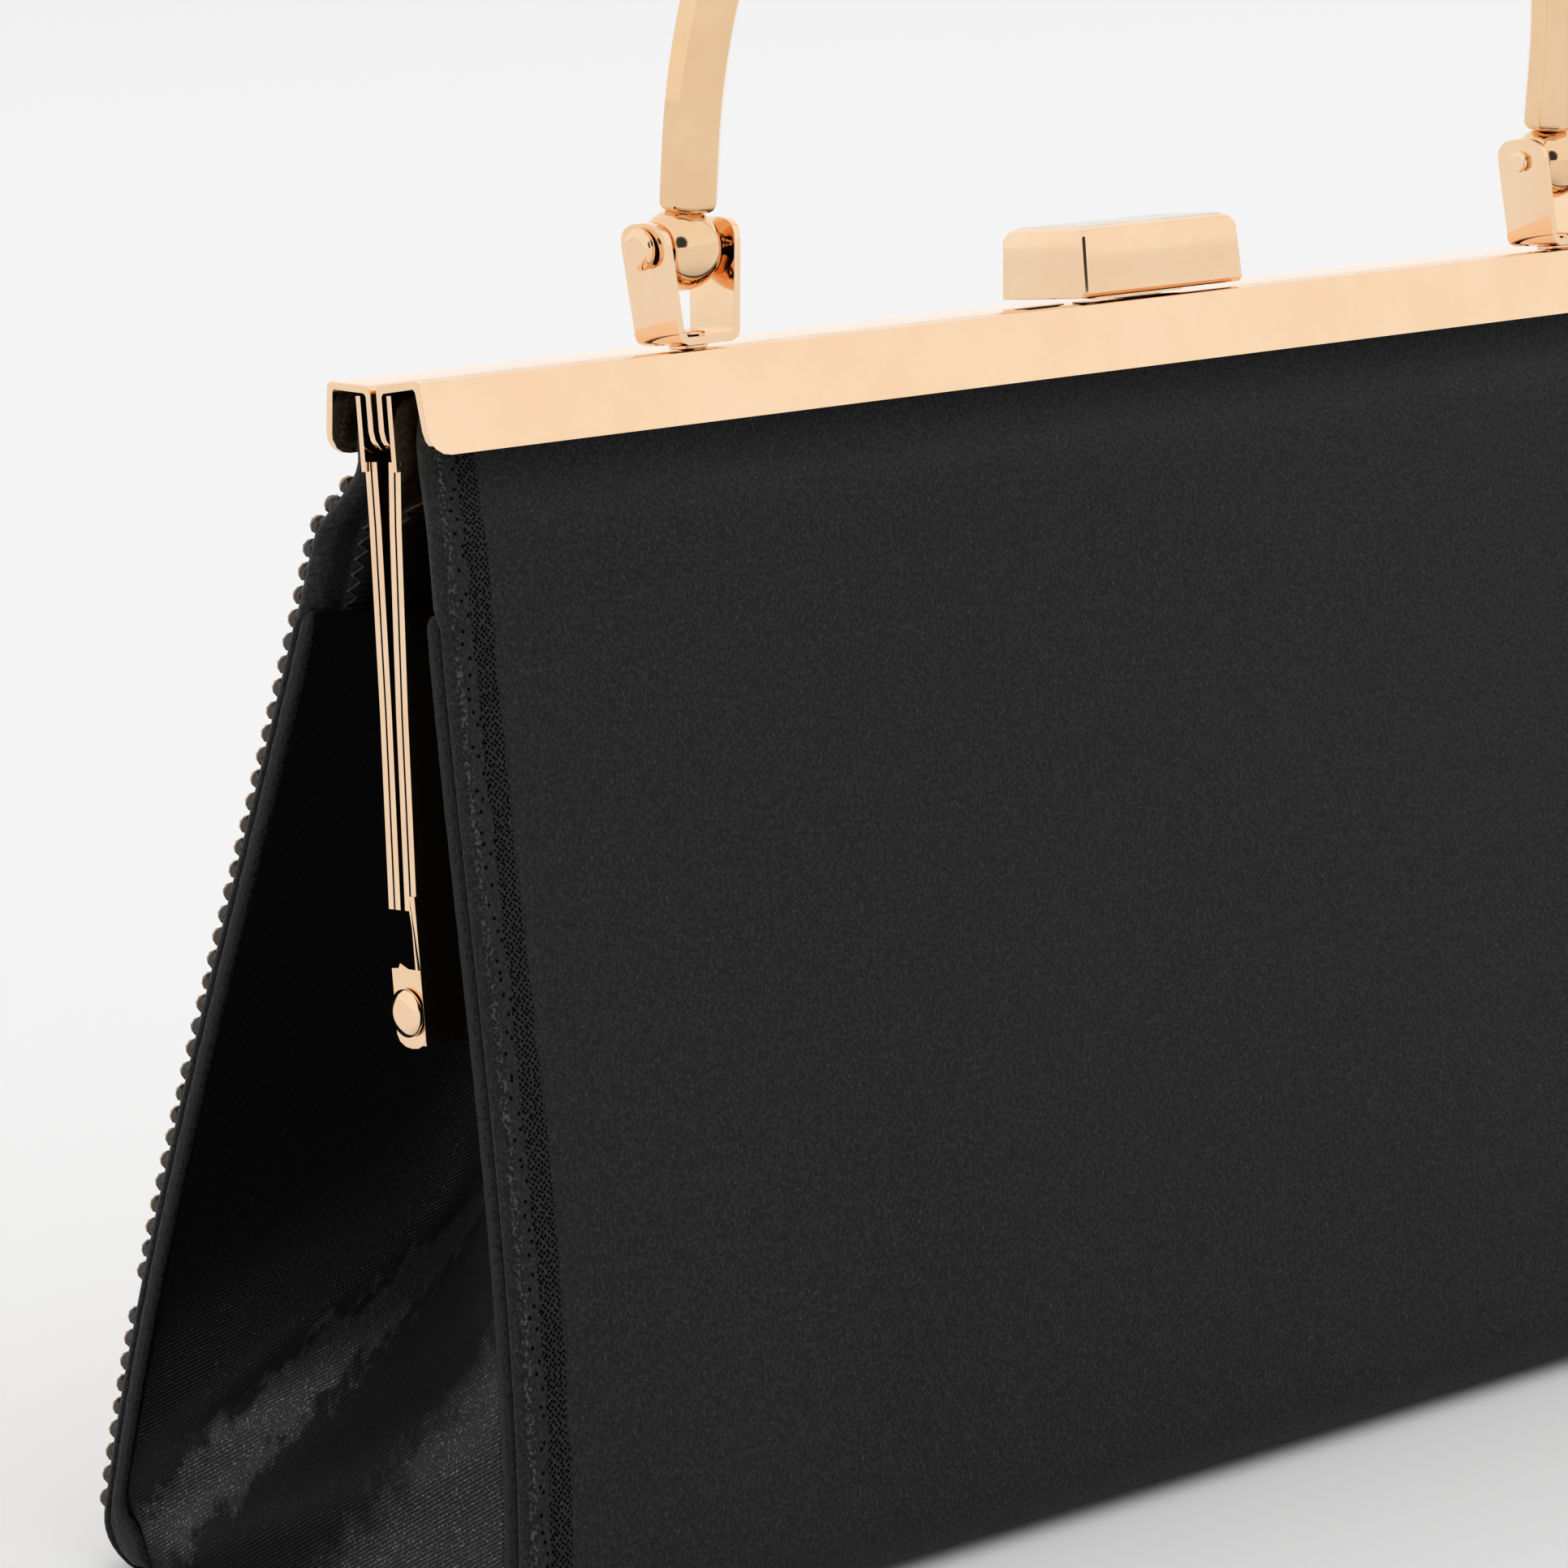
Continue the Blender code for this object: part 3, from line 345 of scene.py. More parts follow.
def welt_satin():
    """The gusset cloth rolled over the seam cord, pricked by the seam's needle."""
    g = Graph("welt_satin", Specular_IOR_Level=0.1, Sheen_Weight=0.03, Sheen_Roughness=0.35)
    vector, across, along, _ = g.marks()
    grain = g.noise(vector, 2.6, 3.0, 0.6)
    lattice = g.node("ShaderNodeCombineXYZ", {0: across, 1: along}).outputs[0]
    sparse = g.node("ShaderNodeTexVoronoi", {"Vector": lattice, "Scale": 0.7, "Randomness": 0.7},
                    voronoi_dimensions="2D")
    pricks = g.remap(sparse.outputs["Distance"], 0.1, 0.22, 1.0, 0.0)
    tone = g.blend(g.remap(grain, 0.35, 0.65), (0.002, 0.002, 0.0022, 1), (0.015, 0.015, 0.0155, 1))
    tone = g.blend(pricks, tone, (0.0006, 0.0006, 0.0006, 1))
    cloth = g.calc("MULTIPLY_ADD", grain, 1.5, g.weave(across, along, 0.44))
    height = g.calc("MULTIPLY_ADD", pricks, -2.0, cloth)
    g.set(Base_Color=tone, Roughness=g.remap(grain, 0.3, 0.7, 0.5, 0.38), Normal=g.bump(height, 0.02))
    return g.material


def ribbed_lining():
    """Black lining with fine cross ribs."""
    g = Graph("ribbed_lining", Specular_IOR_Level=0.15, Sheen_Weight=0.04, Sheen_Roughness=0.4)
    vector, across, along, _ = g.marks()
    rib = g.calc("SINE", g.calc("MULTIPLY", along, 2 * math.pi / 0.62))
    thread = g.calc("SINE", g.calc("MULTIPLY", across, 2 * math.pi / 0.3))
    grain = g.noise(vector, 1.9, 3.0, 0.6)
    height = g.calc("MULTIPLY_ADD", thread, 0.25, g.calc("ADD", rib, grain))
    tone = g.blend(g.remap(rib, -1.0, 1.0), (0.003, 0.003, 0.0032, 1), (0.012, 0.012, 0.0125, 1))
    g.set(Base_Color=tone, Roughness=g.remap(grain, 0.3, 0.7, 0.6, 0.48), Normal=g.bump(height, 0.03))
    return g.material


def sewing_thread():
    """Shiny black twisted thread."""
    g = Graph("sewing_thread", Specular_IOR_Level=0.7, Sheen_Weight=0.2, Sheen_Roughness=0.3)
    place = object_mm(g)
    twist = g.node("ShaderNodeTexWave", {"Vector": place, "Scale": 1.6, "Distortion": 0.6},
                   bands_direction="DIAGONAL")
    tone = g.blend(twist.outputs["Fac"], (0.006, 0.006, 0.0062, 1), (0.05, 0.05, 0.052, 1))
    rough = g.remap(twist.outputs["Fac"], 0.0, 1.0, 0.42, 0.24)
    g.set(Base_Color=tone, Roughness=rough, Normal=g.bump(twist.outputs["Fac"], 0.04))
    return g.material


def plated(name, colour, edge, rough_low, rough_high):
    """Polished plating with faint haze, hairlines and a slow unevenness."""
    g = Graph(name, Metallic=1.0, Specular_IOR_Level=0.5)
    place = object_mm(g)
    haze = g.noise(place, 0.09, 4.0, 0.6)
    stretched = g.node("ShaderNodeMapping", {"Vector": place, "Scale": (0.05, 1.6, 1.6)}).outputs[0]
    hairline = g.noise(stretched, 3.0, 2.0, 0.7)
    speck = g.remap(g.noise(place, 1.7, 1.0), 0.75, 0.8)
    tone = g.blend(g.remap(haze, 0.35, 0.65), (*colour, 1), (*edge, 1))
    rough = g.calc("MULTIPLY_ADD", speck, 0.1, g.remap(haze, 0.3, 0.7, rough_low, rough_high))
    rough = g.calc("MULTIPLY_ADD", hairline, 0.02, rough)
    wave = g.calc("MULTIPLY_ADD", hairline, 0.05, haze)
    g.set(Base_Color=tone, Roughness=rough, Normal=g.bump(wave, 0.006, 0.25))
    return g.material


def crystal_glass():
    """Faceted glass stones, clear to honey, each with its own tint."""
    g = Graph("crystal_glass", IOR=1.55, Specular_IOR_Level=0.5, Transmission_Weight=0.25, Coat_Weight=0.15,
              Coat_Roughness=0.03)
    tint = g.node("ShaderNodeAttribute", attribute_name="cloth").outputs["Vector"]
    parts = g.node("ShaderNodeSeparateXYZ", {"Vector": tint})
    honey = g.blend(g.remap(parts.outputs[0], 0.1, 0.9), (0.8, 0.5, 0.18, 1), (0.6, 0.29, 0.05, 1))
    tone = g.blend(g.remap(parts.outputs[1], 0.6, 1.0), honey, (0.2, 0.12, 0.06, 1))
    cup = g.remap(parts.outputs[2], 0.3, 0.7, 1.0, 0.0)
    tone = g.blend(cup, tone, (0.035, 0.024, 0.014, 1))
    rough = g.calc("MULTIPLY_ADD", cup, 0.25, g.remap(parts.outputs[1], 0.0, 1.0, 0.04, 0.1))
    g.set(Base_Color=tone, Roughness=rough)
    return g.material


PANEL_SATIN = panel_satin()
GUSSET_SATIN = gusset_satin()
WELT_SATIN = welt_satin()
LINING = ribbed_lining()
THREAD = sewing_thread()
ROSE_GOLD = plated("rose_gold", (0.96, 0.7, 0.48), (0.94, 0.66, 0.43), 0.035, 0.07)
HANDLE_GOLD = plated("handle_gold", (0.9, 0.63, 0.39), (0.87, 0.59, 0.35), 0.03, 0.06)
STEEL = plated("spring_steel", (0.55, 0.55, 0.57), (0.45, 0.45, 0.47), 0.22, 0.34)
CRYSTAL = crystal_glass()


def finish_piece(piece, material):
    piece.data.materials.append(material)
    return piece


def bend_piece(piece):
    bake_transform(piece)
    return piece


# ---------------------------------------------------------------- padded panels

FACE_COLUMNS = 84
INNER_COLUMNS = 30
EDGE_ROUND = 1.5
EDGE_DEPTH = 1.65
WELT_RECESS = 1.15


def panel_ring(z, side, phase):
    """Level section of a panel: crowned face, soft edges, a step at each end for the seam welt."""
    half = float(panel_half_length(z))
    out = float(panel_outer(z))
    inner = min(float(panel_inner(z)), out - 1.2)
    flat_half = half - 4.0
    face = []
    for k in range(FACE_COLUMNS + 1):
        x = flat_half * (1.0 - 2.0 * k / FACE_COLUMNS)
        crown = 0.22 * (1.0 - abs(x / half) ** 6) * min(1.0, z / 12.0) * (1.0 - float(neck(z)))
        face.append((x, out - 0.12 + crown + float(ripple(x, z, phase)) * (1.0 - float(neck(z)))))
    depth = min(EDGE_DEPTH, (out - inner) * 0.55)
    right_end = [(half - 2.9, out - 0.11), (half - 2.1, out - 0.1)]
    for k in range(8):
        angle = 0.5 * math.pi * (1.0 - k / 7.0)
        drop = (depth - 0.25) * (1.0 - math.sin(angle))
        right_end.append((half - EDGE_ROUND + EDGE_ROUND * math.cos(angle), out - 0.1 - drop))
    right_end += [(half - 0.12, out - depth - 0.02), (half - 0.5, out - depth - 0.16)]
    right_end += [(half - WELT_RECESS, out - depth - 0.12)]
    right_end += [(half - WELT_RECESS - 0.05, mix(out - depth, inner, 0.5))]
    right_end += [(half - WELT_RECESS, inner + 0.12), (half - WELT_RECESS - 0.3, inner)]
    # Over the welt's top the end is a full round roll of cloth.
    share = float(ease((z - 94.8) / 1.6))
    rise = min(max((z - 111.0) / 5.0, 0.0), 0.99)
    end = half - 2.2 * (1.0 - math.sqrt(1.0 - rise ** 2))
    round_x, round_y = 1.7, (out - 0.1 - inner) / 2
    for k, (x, y) in enumerate(right_end):
        angle = math.pi * (0.5 - k / (len(right_end) - 1.0))
        roll_x = end - round_x + round_x * math.cos(angle)
        right_end[k] = (mix(x, roll_x, share), mix(y, inner + round_y * (1.0 + math.sin(angle)), share))
    back = [(x, inner) for x in np.linspace(half - 3.0, -half + 3.0, INNER_COLUMNS)]
    left_end = [(-x, y) for x, y in reversed(right_end)]
    ring = list(reversed(face)) + right_end + back + left_end
    return np.array([(x, side * y, z) for x, y in ring])


def profile_length(levels):
    """Distance along the outer face from the first level, in millimetres."""
    steps = np.hypot(np.diff(levels), np.diff(panel_outer(levels)))
    return np.concatenate([[0.0], np.cumsum(steps)])


def padded_panel(name, side, phase, replaced):
    levels = np.concatenate([
        np.linspace(0.0, 7.5, 10), np.linspace(9.5, 93.5, 40), np.linspace(94.8, 102.0, 9),
        np.linspace(103.5, 111.0, 9), np.linspace(112.0, PANEL_TOP, 6),
    ])
    along = profile_length(levels)
    rings = [panel_ring(float(z), side, phase) for z in levels]
    marks = []
    for ring, z, s in zip(rings, levels, along):
        inset = float(panel_half_length(z)) - np.abs(ring[:, 0])
        out = float(panel_outer(z)) - np.abs(ring[:, 1])
        from_edge = inset - np.maximum(out - 0.3, 0.0)
        marks.append(np.stack([ring[:, 0], np.full(len(ring), s), from_edge], axis=1))
    piece = ringed(name, rings, marks)
    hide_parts(*replaced)
    return finish_piece(piece, PANEL_SATIN)


rear_skin = padded_panel("rear_panel_skin", 1, 0.4, ["rear_panel"])
front_skin = padded_panel("front_panel_skin", -1, 2.1, ["front_panel", "front_panel_foot"])
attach(rear_skin, "rear_half")
bend_piece(front_skin)


# ---------------------------------------------------------------- seam welts

WELT_TIP = 1.9
WELT_HALF_WIDTH = 0.9


def welt(name, hand, side):
    """Rolled strip between a panel's end and the gusset, with a rounded top."""
    tip = GUSSET_TOP - WELT_TIP * (1 - np.sin(np.linspace(0.15, 1.5, 6)))
    levels = np.concatenate([np.linspace(1.0, 8.0, 8), np.linspace(10.0, 93.5, 48), tip])
    rings, marks = [], []
    sections = 14
    for z in levels:
        half = float(panel_half_length(z))
        out = float(panel_outer(z))
        inner = min(float(panel_inner(z)), out - 1.2)
        near_top = max(z - (GUSSET_TOP - WELT_TIP), 0.0) / WELT_TIP
        taper = math.sqrt(max(1.0 - near_top ** 2, 0.02))
        low_y = inner - 0.55
        high_y = out - EDGE_DEPTH - 0.12
        mid_y = (low_y + high_y) / 2
        half_y = (high_y - low_y) / 2 * mix(1.0, taper, 0.75)
        mid_x = half - 0.85
        ring, mark = [], []
        for k in range(sections):
            angle = 2 * math.pi * k / sections
            cos_a, sin_a = math.cos(angle), math.sin(angle)
            x = mid_x + WELT_HALF_WIDTH * math.copysign(abs(cos_a) ** 0.55, cos_a) * mix(1.0, taper, 0.5)
            y = mid_y + half_y * math.copysign(abs(sin_a) ** 0.55, sin_a)
            pucker = 0.05 * math.sin(z * 2.1 + 3.0 * side) * max(cos_a, 0.0)
            ring.append((hand * (x + pucker), side * y, z))
            mark.append((1.6 * angle, z, 0.0))
        rings.append(ring)
        marks.append(mark)
    piece = ringed(name, rings, marks)
    finish_piece(piece, WELT_SATIN)
    if side > 0:
        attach(piece, "rear_half")
    else:
        bend_piece(piece)


for hand, word in ((1, "right"), (-1, "left")):
    welt("rear_welt_" + word, hand, 1)
    welt("front_welt_" + word, hand, -1)


# ---------------------------------------------------------------- gussets

GUSSET_COLUMNS = 73
GUSSET_ROWS = 64
GUSSET_CLOTH = 0.6


def crease(t, z, slope, level, width):
    """Soft ridge along a slanted line across the gusset, 1 on the line."""
    away = (z - level - slope * t) / width
    return np.exp(-away ** 2)


def gusset_surface(t, z):
    """Right-hand gusset cloth at t (-1 front seam, 1 rear seam) and height z."""
    level = np.maximum(z - 1.2 * (1.0 - ease(z / 22.0)), 0.0)
    half_depth = panel_inner(level) - mix(0.6, 0.3, ease(z / 22.0))
    seam_x = panel_half_length(z) - 0.4
    low = 11.0 * (1.0 + t) * (1.0 - ease((z - 40.0) / 30.0))
    share = ease((z - low) / (52.0 - low))
    fold = np.maximum(seam_x - FOLD_X, 0.0) * share
    x = seam_x - fold * (1.0 - np.abs(t) ** 1.5)
    free = (1.0 - t ** 6) * ease(z / 8.0)
    lower = 1.0 - ease((z - 44.0) / 14.0)
    x = x + 0.8 * crease(t, z, 19.0, 27.0, 3.6) * free * lower
    x = x - 0.6 * crease(t, z, 15.0, 18.5, 3.4) * free * lower
    x = x + 0.5 * crease(t, z, 10.0, 11.0, 2.8) * free * lower
    x = x - 0.5 * crease(t, z, 24.0, 36.5, 3.6) * free * lower
    x = x + 0.35 * np.sin(z / 6.1 + 2.0 * t) * free * ease((z - 50.0) / 14.0) * (1.0 - 0.6 * np.abs(t))
    return np.stack([x, t * half_depth, z], axis=-1)


def gusset(word, hand):
    heights = np.linspace(0.9, GUSSET_TOP - 0.3, GUSSET_ROWS)
    t, z = np.meshgrid(np.linspace(-1.0, 1.0, GUSSET_COLUMNS), heights)
    outer = gusset_surface(t, z)
    inner = outer.copy()
    inner[..., 0] -= GUSSET_CLOTH
    # The free top edge is turned under, so it is a little thicker.
    hem = ease((z - (GUSSET_TOP - 3.2)) / 0.6)
    outer[..., 0] += 0.22 * hem
    steps = np.linalg.norm(np.diff(outer, axis=1), axis=2)
    across = np.concatenate([np.zeros((len(z), 1)), np.cumsum(steps, axis=1)], axis=1)
    across -= across[:, GUSSET_COLUMNS // 2][:, None]
    cloth = np.stack([across, z, np.abs(t)], axis=-1)
    for leaf in (outer, inner):
        leaf[..., 0] *= hand
    piece = closed_sheet("gusset_cloth_" + word, outer, inner, cloth)
    finish_piece(piece, GUSSET_SATIN)
    bend_piece(piece)
    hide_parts("gusset_" + word, "front_gusset_" + word)


for hand, word in ((1, "right"), (-1, "left")):
    gusset(word, hand)


# ---------------------------------------------------------------- base and linings

def rounded_slab(name, half_x, half_y, low, high, edge, material):
    """Flat board wrapped in cloth, with soft edges and a slight crown below."""
    xs = np.linspace(-half_x, half_x, 61)
    ys = np.linspace(-half_y, half_y, 23)
    x, y = np.meshgrid(xs, ys)
    near = np.minimum(half_x - np.abs(x), half_y - np.abs(y))
    reach = np.clip(near / edge, 0, 1)
    soft = edge * (1.0 - np.sqrt(reach * (2 - reach)))
    bottom = np.stack([x, y, low + soft * 0.8], axis=-1)
    top = np.stack([x, y, high - soft * 0.8], axis=-1)
    cloth = np.stack([x, y, near + 20.0], axis=-1)
    piece = closed_sheet(name, top, bottom, cloth)
    return finish_piece(piece, material)


base_skin = rounded_slab("base_skin", 117.0, 28.25, 0.0, PANEL_THICKNESS, 0.9, PANEL_SATIN)
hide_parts("base_panel")
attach(base_skin, "rear_half")

LINING_CLOTH = 0.45
LINING_LOW = 5.0


def wall_lining(name, side, node, ride):
    levels = np.concatenate([np.linspace(LINING_LOW, 102.0, 34), np.linspace(103.5, 115.0, 12)])
    share = np.linspace(-1.0, 1.0, 61)
    half = panel_half_length(levels) - 3.4
    half = mix(half, 92.5, ease((levels - 105.5) / 3.5))
    x = share[None, :] * half[:, None]
    z = np.repeat(levels[:, None], len(share), axis=1)
    loose = 0.12 * np.sin(x / 9.0 + z / 14.0) * np.sin(z / 12.0) * (1.0 - neck(z))
    near = np.minimum(panel_inner(z), panel_outer(z) - 1.2) - 0.12
    far = np.stack([x, side * near, z], axis=-1)
    close = np.stack([x, side * (near - LINING_CLOTH - np.abs(loose)), z], axis=-1)
    cloth = np.stack([x, z, half[:, None] - np.abs(x)], axis=-1)
    piece = closed_sheet(name, far, close, cloth)
    finish_piece(piece, LINING)
    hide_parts(node)
    if ride:
        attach(piece, "rear_half")
    else:
        bend_piece(piece)
    return levels, half


def zigzag(name, side, hand, levels, half, ride):
    """Zig-zag seam along the end edge of a wall lining."""
    z = np.arange(60.0 if side < 0 else 12.0, 109.0, 0.75)
    edge = np.interp(z, levels, half)
    swing = np.where(np.arange(len(z)) % 2 == 0, 0.4, -0.9)
    near = np.minimum(panel_inner(z), panel_outer(z) - 1.2) - 0.12 - LINING_CLOTH - 0.16
    path = np.stack([hand * (edge - 0.5 + swing), side * near, z], axis=1)
    piece = ringed(name, tube(path, 0.17))
    finish_piece(piece, THREAD)
    if ride:
        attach(piece, "rear_half")
    else:
        bend_piece(piece)


for side, node, ride in ((1, "rear_lining", True), (-1, "front_lining", False)):
    levels, half = wall_lining(node + "_cloth", side, node, ride)
    for hand, word in ((1, "right"), (-1, "left")):
        zigzag(node + "_stitches_" + word, side, hand, levels, half, ride)

base_lining = rounded_slab("base_lining_cloth", 115.5, 27.9, 3.55, 4.15, 0.3, LINING)
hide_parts("base_lining")
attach(base_lining, "rear_half")


# ---------------------------------------------------------------- crystals

STONE_PITCH = 2.33
STONE_PROFILE = ((0.86, -0.25), (1.03, 0.35), (0.88, 0.8), (0.5, 1.15))
STONE_SIDES = 8
STONE_INSET = 1.35
LOST_STONE_X = 100.0
LOST_STONE_ALONG = 21.2


def stone_places():
    """(x, distance along the face) of every stone: a column along each slanted edge, rows between."""
    dense = np.linspace(6.5, 108.0, 800)
    length = profile_length(dense)
    places = []
    for s in np.arange(0.4, length[-1], STONE_PITCH):
        half = float(panel_half_length(np.interp(s, length, dense))) - STONE_INSET
        places += [(half, s), (-half, s)]
    row = STONE_PITCH * math.sqrt(3.0) / 2.0
    for index, s in enumerate(np.arange(0.4, length[-1], row)):
        half = float(panel_half_length(np.interp(s, length, dense))) - STONE_INSET - STONE_PITCH * 0.93
        shift = STONE_PITCH / 2 if index % 2 else 0.0
        count = int(half / STONE_PITCH) + 1
        for k in range(-count - 1, count + 1):
            x = k * STONE_PITCH + shift
            if abs(x) <= half:
                places.append((x, s))
    # One stone is missing from the right-hand edge column, near the foot.
    places = [p for p in places if not (p[0] > LOST_STONE_X and abs(p[1] - LOST_STONE_ALONG) < 0.9)]
    return np.array(places), dense, length


def crystals():
    places, dense, length = stone_places()
    z = np.interp(places[:, 1], length, dense)
    slope = (panel_outer(z + 0.2) - panel_outer(z - 0.2)) / 0.4
    normal = np.stack([np.zeros_like(z), -np.ones_like(z), -slope], axis=1)
    normal /= np.linalg.norm(normal, axis=1, keepdims=True)
    right = np.tile([1.0, 0.0, 0.0], (len(z), 1))
    up = np.cross(normal, right)
    base = np.stack([places[:, 0], -panel_outer(z), z], axis=1)
    turn = rng.uniform(0, math.pi / 4, len(z))
    tilt = rng.normal(0.0, 0.035, (len(z), 2))
    normal = normal + tilt[:, :1] * right + tilt[:, 1:] * up
    tint = rng.uniform(0, 1, (len(z), 2))
    points, marks = [], []
    for ring, (radius, height) in enumerate(STONE_PROFILE):
        for k in range(STONE_SIDES):
            angle = 2 * math.pi * (k + 0.5 * (ring % 2)) / STONE_SIDES + turn
            spoke = np.cos(angle)[:, None] * right + np.sin(angle)[:, None] * up
            points.append(base + spoke * radius + normal * height)
            marks.append(np.column_stack([tint, np.full(len(z), height)]))
    points = np.stack(points, axis=1)
    marks = np.stack(marks, axis=1)
    template = grid_faces(len(STONE_PROFILE), STONE_SIDES, wrap=True)
    size = len(STONE_PROFILE) * STONE_SIDES
    template += [tuple(range(STONE_SIDES)), tuple(range(size - STONE_SIDES, size))]
    middle = np.median(z)
    shares = (("upper", z >= middle, "crystal_field"), ("lower", z < middle, "crystal_field_foot"))
    for name, chosen, node in shares:
        count = int(chosen.sum())
        faces = [tuple(i + size * n for i in f) for n in range(count) for f in template]
        kept = {"cloth": marks[chosen].reshape(-1, 3)}
        piece = mesh_piece("crystal_stones_" + name, points[chosen].reshape(-1, 3), faces, False, kept)
        finish_piece(piece, CRYSTAL)
        bend_piece(piece)
        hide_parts(node)


crystals()


# ---------------------------------------------------------------- handle

PIVOT = (64.2, 4.3, 128.1)
LEAN = math.radians(10.5)
FLATS = 5.6
STRAIGHT_TOP = 10.0
LEG_LOW = 3.4


def arch():
    """Eight-sided bar bent to an arch, its corners softly rounded and its feet drawn in."""
    radius = PIVOT[0] - 0.7
    feet = [(0.0, 0.62), (0.12, 0.78), (0.35, 0.91), (0.7, 0.985), (1.1, 1.0), (3.4, 1.0)]
    stations = [(radius, LEG_LOW + rise, 0.0, scale) for rise, scale in feet]
    steps = 144
    for k in range(steps + 1):
        angle = math.pi * k / steps
        stations.append((radius * math.cos(angle), STRAIGHT_TOP + radius * math.sin(angle), angle, 1.0))
    stations += [(-radius, LEG_LOW + rise, math.pi, scale) for rise, scale in reversed(feet)]
    outer = FLATS / 2 / math.cos(math.pi / 8)
    corner = 0.42
    cos_l, sin_l = math.cos(LEAN), math.sin(LEAN)
    rings = []
    for x, z, angle, scale in stations:
        ring = []
        for k in range(8):
            middle = math.pi / 8 + k * math.pi / 4
            centre = outer - corner / math.cos(math.pi / 8)
            for nudge in (-math.pi / 8, -math.pi / 16, 0.0, math.pi / 16, math.pi / 8):
                u = (centre * math.cos(middle) + corner * math.cos(middle + nudge)) * scale
                v = (centre * math.sin(middle) + corner * math.sin(middle + nudge)) * scale
                px, py, pz = x + u * math.cos(angle), v, z + u * math.sin(angle)
                ring.append((px, PIVOT[1] + py * cos_l + pz * sin_l, PIVOT[2] - py * sin_l + pz * cos_l))
        rings.append(ring)
    piece = ringed("handle_bar", rings)
    weigh = piece.modifiers.new("even_flats", "WEIGHTED_NORMAL")
    weigh.keep_sharp = True
    finish_piece(piece, HANDLE_GOLD)
    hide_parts("handle_arch")
    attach(piece, "handle")


arch()


# ---------------------------------------------------------------- metal carried over from the CAD

def polish(node, width, material=ROSE_GOLD):
    """Softens a CAD metal part's edges with modifiers and gives it its plating."""
    thing = NODES[node]
    mesh = thing.data
    mesh.materials.clear()
    mesh.materials.append(material)
    mesh.polygons.foreach_set("use_smooth", [True] * len(mesh.polygons))
    for name in ("custom_normal", "sharp_face", "sharp_edge"):
        if name in mesh.attributes:
            mesh.attributes.remove(mesh.attributes[name])
    weld = thing.modifiers.new("weld", "WELD")
    weld.merge_threshold = 0.000004
    flat = thing.modifiers.new("flat", "DECIMATE")
    flat.decimate_type = "DISSOLVE"
    flat.angle_limit = math.radians(1.0)
    if width:
        bevel = thing.modifiers.new("soft_edges", "BEVEL")
        bevel.width = width * MM
        bevel.segments = 2
        bevel.limit_method = "ANGLE"
        bevel.angle_limit = math.radians(32.0)
        bevel.harden_normals = False
        bevel.miter_outer = "MITER_ARC"
        bevel.use_clamp_overlap = True
    weigh = thing.modifiers.new("even_flats", "WEIGHTED_NORMAL")
    weigh.keep_sharp = True


for half in ("rear", "front"):
    polish(half + "_channel", 0.12)
    for word in ("right", "left"):
        polish(half + "_arm_" + word, 0.07)
for word in ("right", "left"):
    polish("hinge_rivet_" + word, 0.1)
    polish("handle_bracket_" + word, 0.1)
    polish("bracket_rivet_" + word, 0.08)
    polish("handle_pin_" + word, 0.12)
    polish("handle_ball_" + word, 0.06, HANDLE_GOLD)
polish("lock_bar", 0.12)
polish("lock_base", 0.06)
polish("lock_keeper", 0.06)
polish("lock_pin", 0.05, STEEL)
polish("lock_spring", 0.0, STEEL)
polish("lock_catch", 0.04, STEEL)


# ---------------------------------------------------------------- floor, light and camera

def floor():
    """Pale sheet that sweeps up far behind the object."""
    g = Graph("floor_paper", Base_Color=(0.93, 0.93, 0.93, 1), Roughness=0.9, Specular_IOR_Level=0.1)
    distances = [0.6, 1.5, 3.0, 6.0, 12.0, 24.0, 30.0, 34.0, 36.0, 36.5]
    heights = [0.0, 0.0, 0.0, 0.0, 0.0, 0.0, 0.3, 1.0, 2.0, 3.0]
    sides = 96
    turn = np.arange(sides) * 2 * math.pi / sides
    rings = []
    for d, h in zip(distances, heights):
        rings.append([(d * math.cos(a), d * math.sin(a), h - 0.0002) for a in turn])
    points = np.concatenate([np.array(r) for r in rings]) / MM
    faces = grid_faces(len(rings), sides, wrap=True) + [tuple(range(sides))]
    paper = mesh_piece("studio_floor", points, faces)
    paper.data.materials.append(g.material)
    grain = g.noise(object_mm(g), 0.05, 3.0)
    g.set(Roughness=g.remap(grain, 0.2, 0.8, 0.85, 0.95))


def soft_light(name, place, target, size, power, colour=(1.0, 1.0, 1.0)):
    data = bpy.data.lights.new(name, "AREA")
    data.shape = "RECTANGLE"
    data.size, data.size_y = size
    data.energy = power
    data.color = colour
    lamp = bpy.data.objects.new(name, data)
    lamp.location = place
    aim = Vector(target) - Vector(place)
    lamp.rotation_mode = "QUATERNION"
    lamp.rotation_quaternion = aim.to_track_quat("-Z", "Y")
    bpy.context.scene.collection.objects.link(lamp)
    return lamp


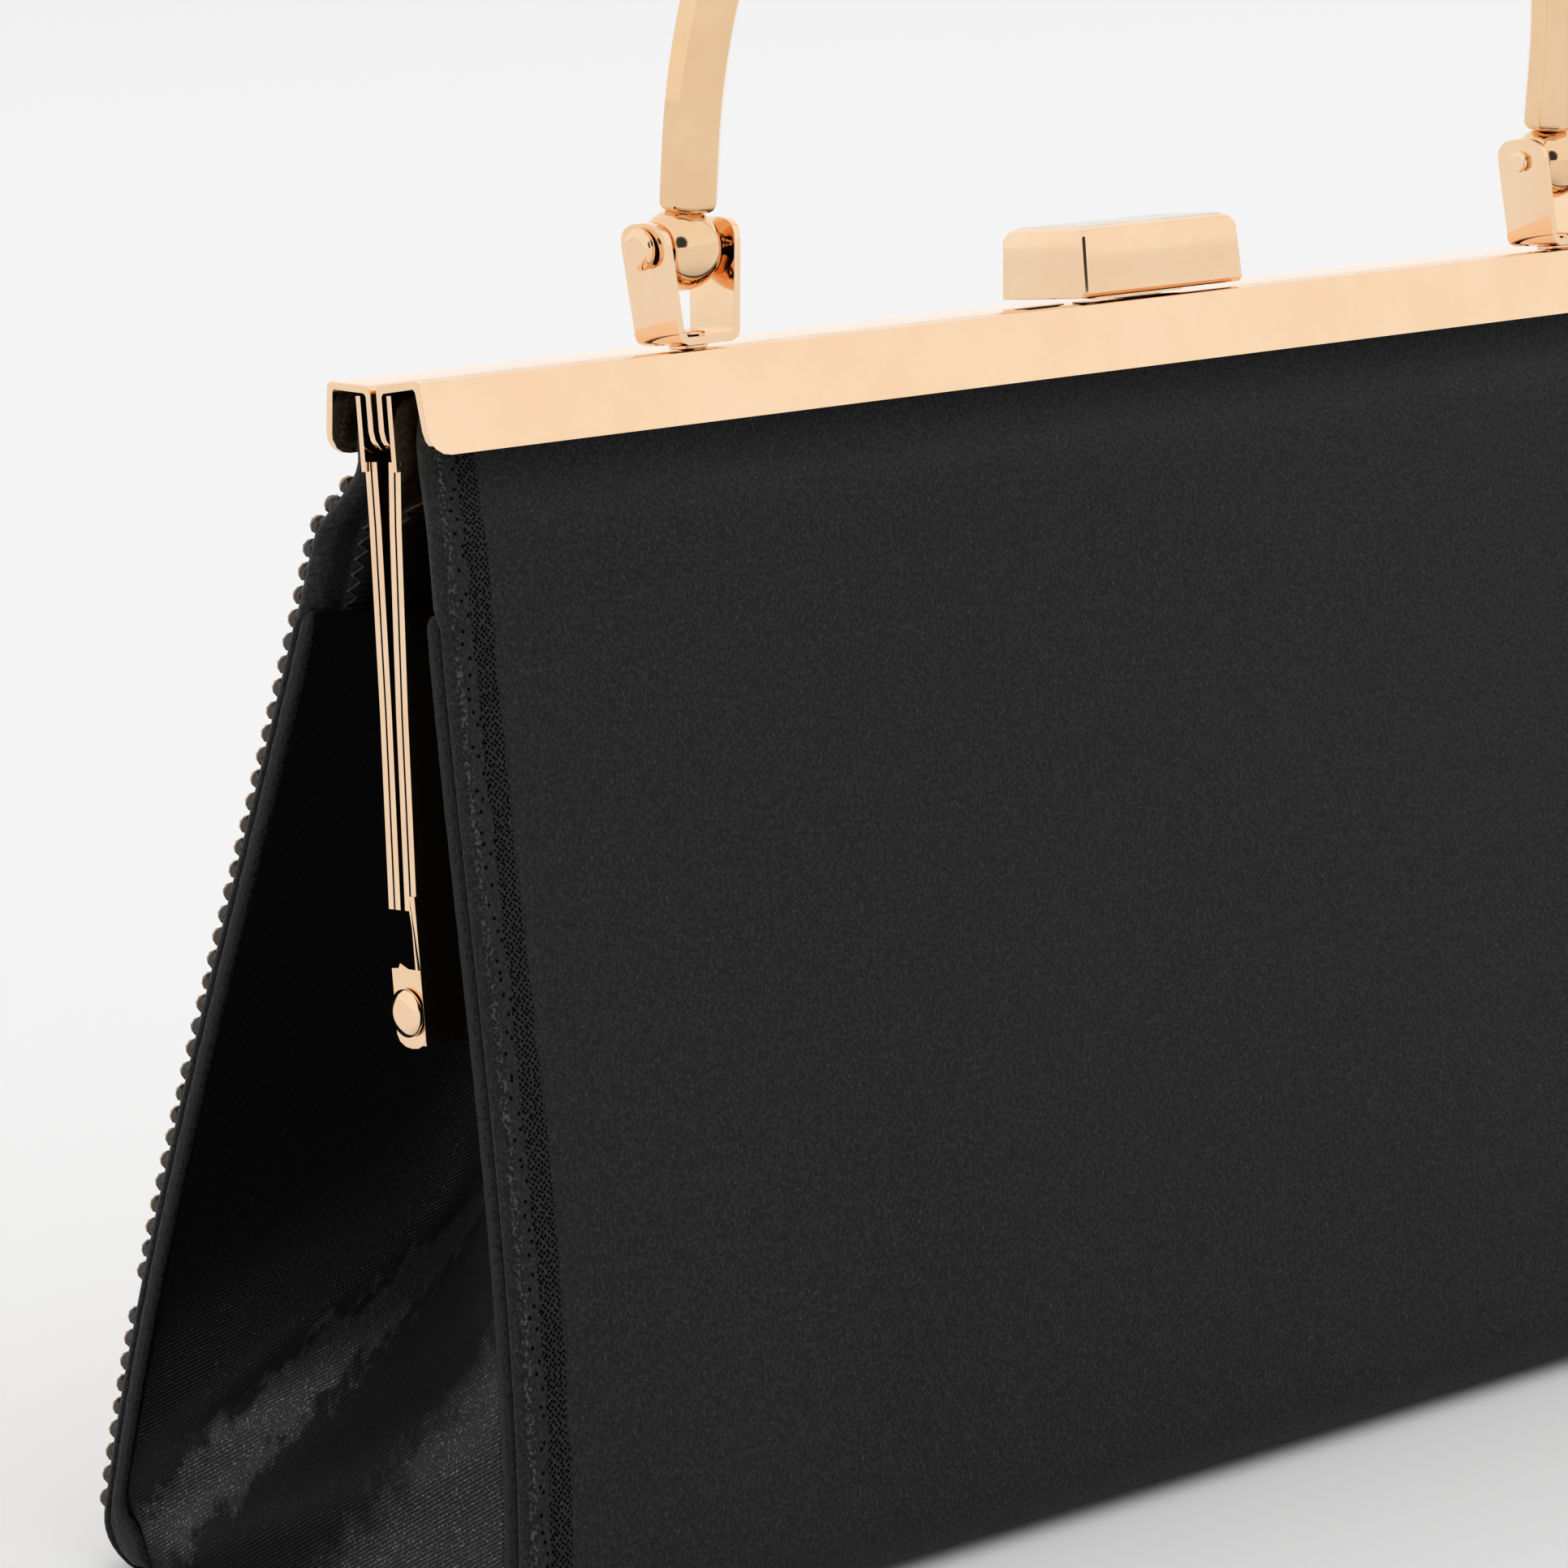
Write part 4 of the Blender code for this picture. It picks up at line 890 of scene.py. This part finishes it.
def studio():
    world = bpy.data.worlds.new("studio")
    world.use_nodes = True
    tree = world.node_tree
    background = tree.nodes["Background"]
    sky = tree.nodes.new("ShaderNodeTexCoord").outputs["Generated"]
    # A dark gap in the white tent, beyond the camera, gives polished metal its dark edges.
    toward = Vector((0.62, 0.76, 0.3)).normalized()
    facing = tree.nodes.new("ShaderNodeVectorMath")
    facing.operation = "DOT_PRODUCT"
    tree.links.new(sky, facing.inputs[0])
    facing.inputs[1].default_value = toward
    gap = tree.nodes.new("ShaderNodeMapRange")
    gap.interpolation_type = "SMOOTHSTEP"
    tree.links.new(facing.outputs["Value"], gap.inputs["Value"])
    for key, value in (("From Min", 0.93), ("From Max", 0.97), ("To Min", 1.0), ("To Max", 0.05)):
        gap.inputs[key].default_value = value
    tree.links.new(gap.outputs[0], background.inputs["Strength"])
    background.inputs["Color"].default_value = (1.0, 1.0, 1.0, 1.0)
    bpy.context.scene.world = world


def camera():
    data = bpy.data.cameras.new("camera")
    data.sensor_width = 36.0
    data.lens = 125.776
    data.clip_start = 0.02
    data.clip_end = 100.0
    eye = bpy.data.objects.new("camera", data)
    right = Vector((-0.75687, 0.6497, -0.07091))
    up = Vector((-0.13952, -0.05462, 0.98871))
    back = Vector((0.6385, 0.75822, 0.13198))
    turn = Matrix((right, up, back)).transposed()
    eye.matrix_world = Matrix.Translation((0.40934, 0.42397, 0.14622)) @ turn.to_4x4()
    bpy.context.scene.collection.objects.link(eye)
    bpy.context.scene.camera = eye


floor()
studio()
camera()
sheen = soft_light("sheen", (0.82, -0.85, 0.16), (0.12, 0.0, 0.035), (0.3, 0.3), 6.0)
# The sheen lamp lights only the gusset cloths, so that the floor and the metal keep their even light.
lit = bpy.data.collections.new("cloth_lit_by_sheen")
for thing in list(bpy.context.scene.collection.objects):
    if thing.name.startswith("gusset_cloth"):
        lit.objects.link(thing)
sheen.light_linking.receiver_collection = lit
bpy.context.scene.view_settings.view_transform = "Standard"
bpy.context.scene.view_settings.look = "None"
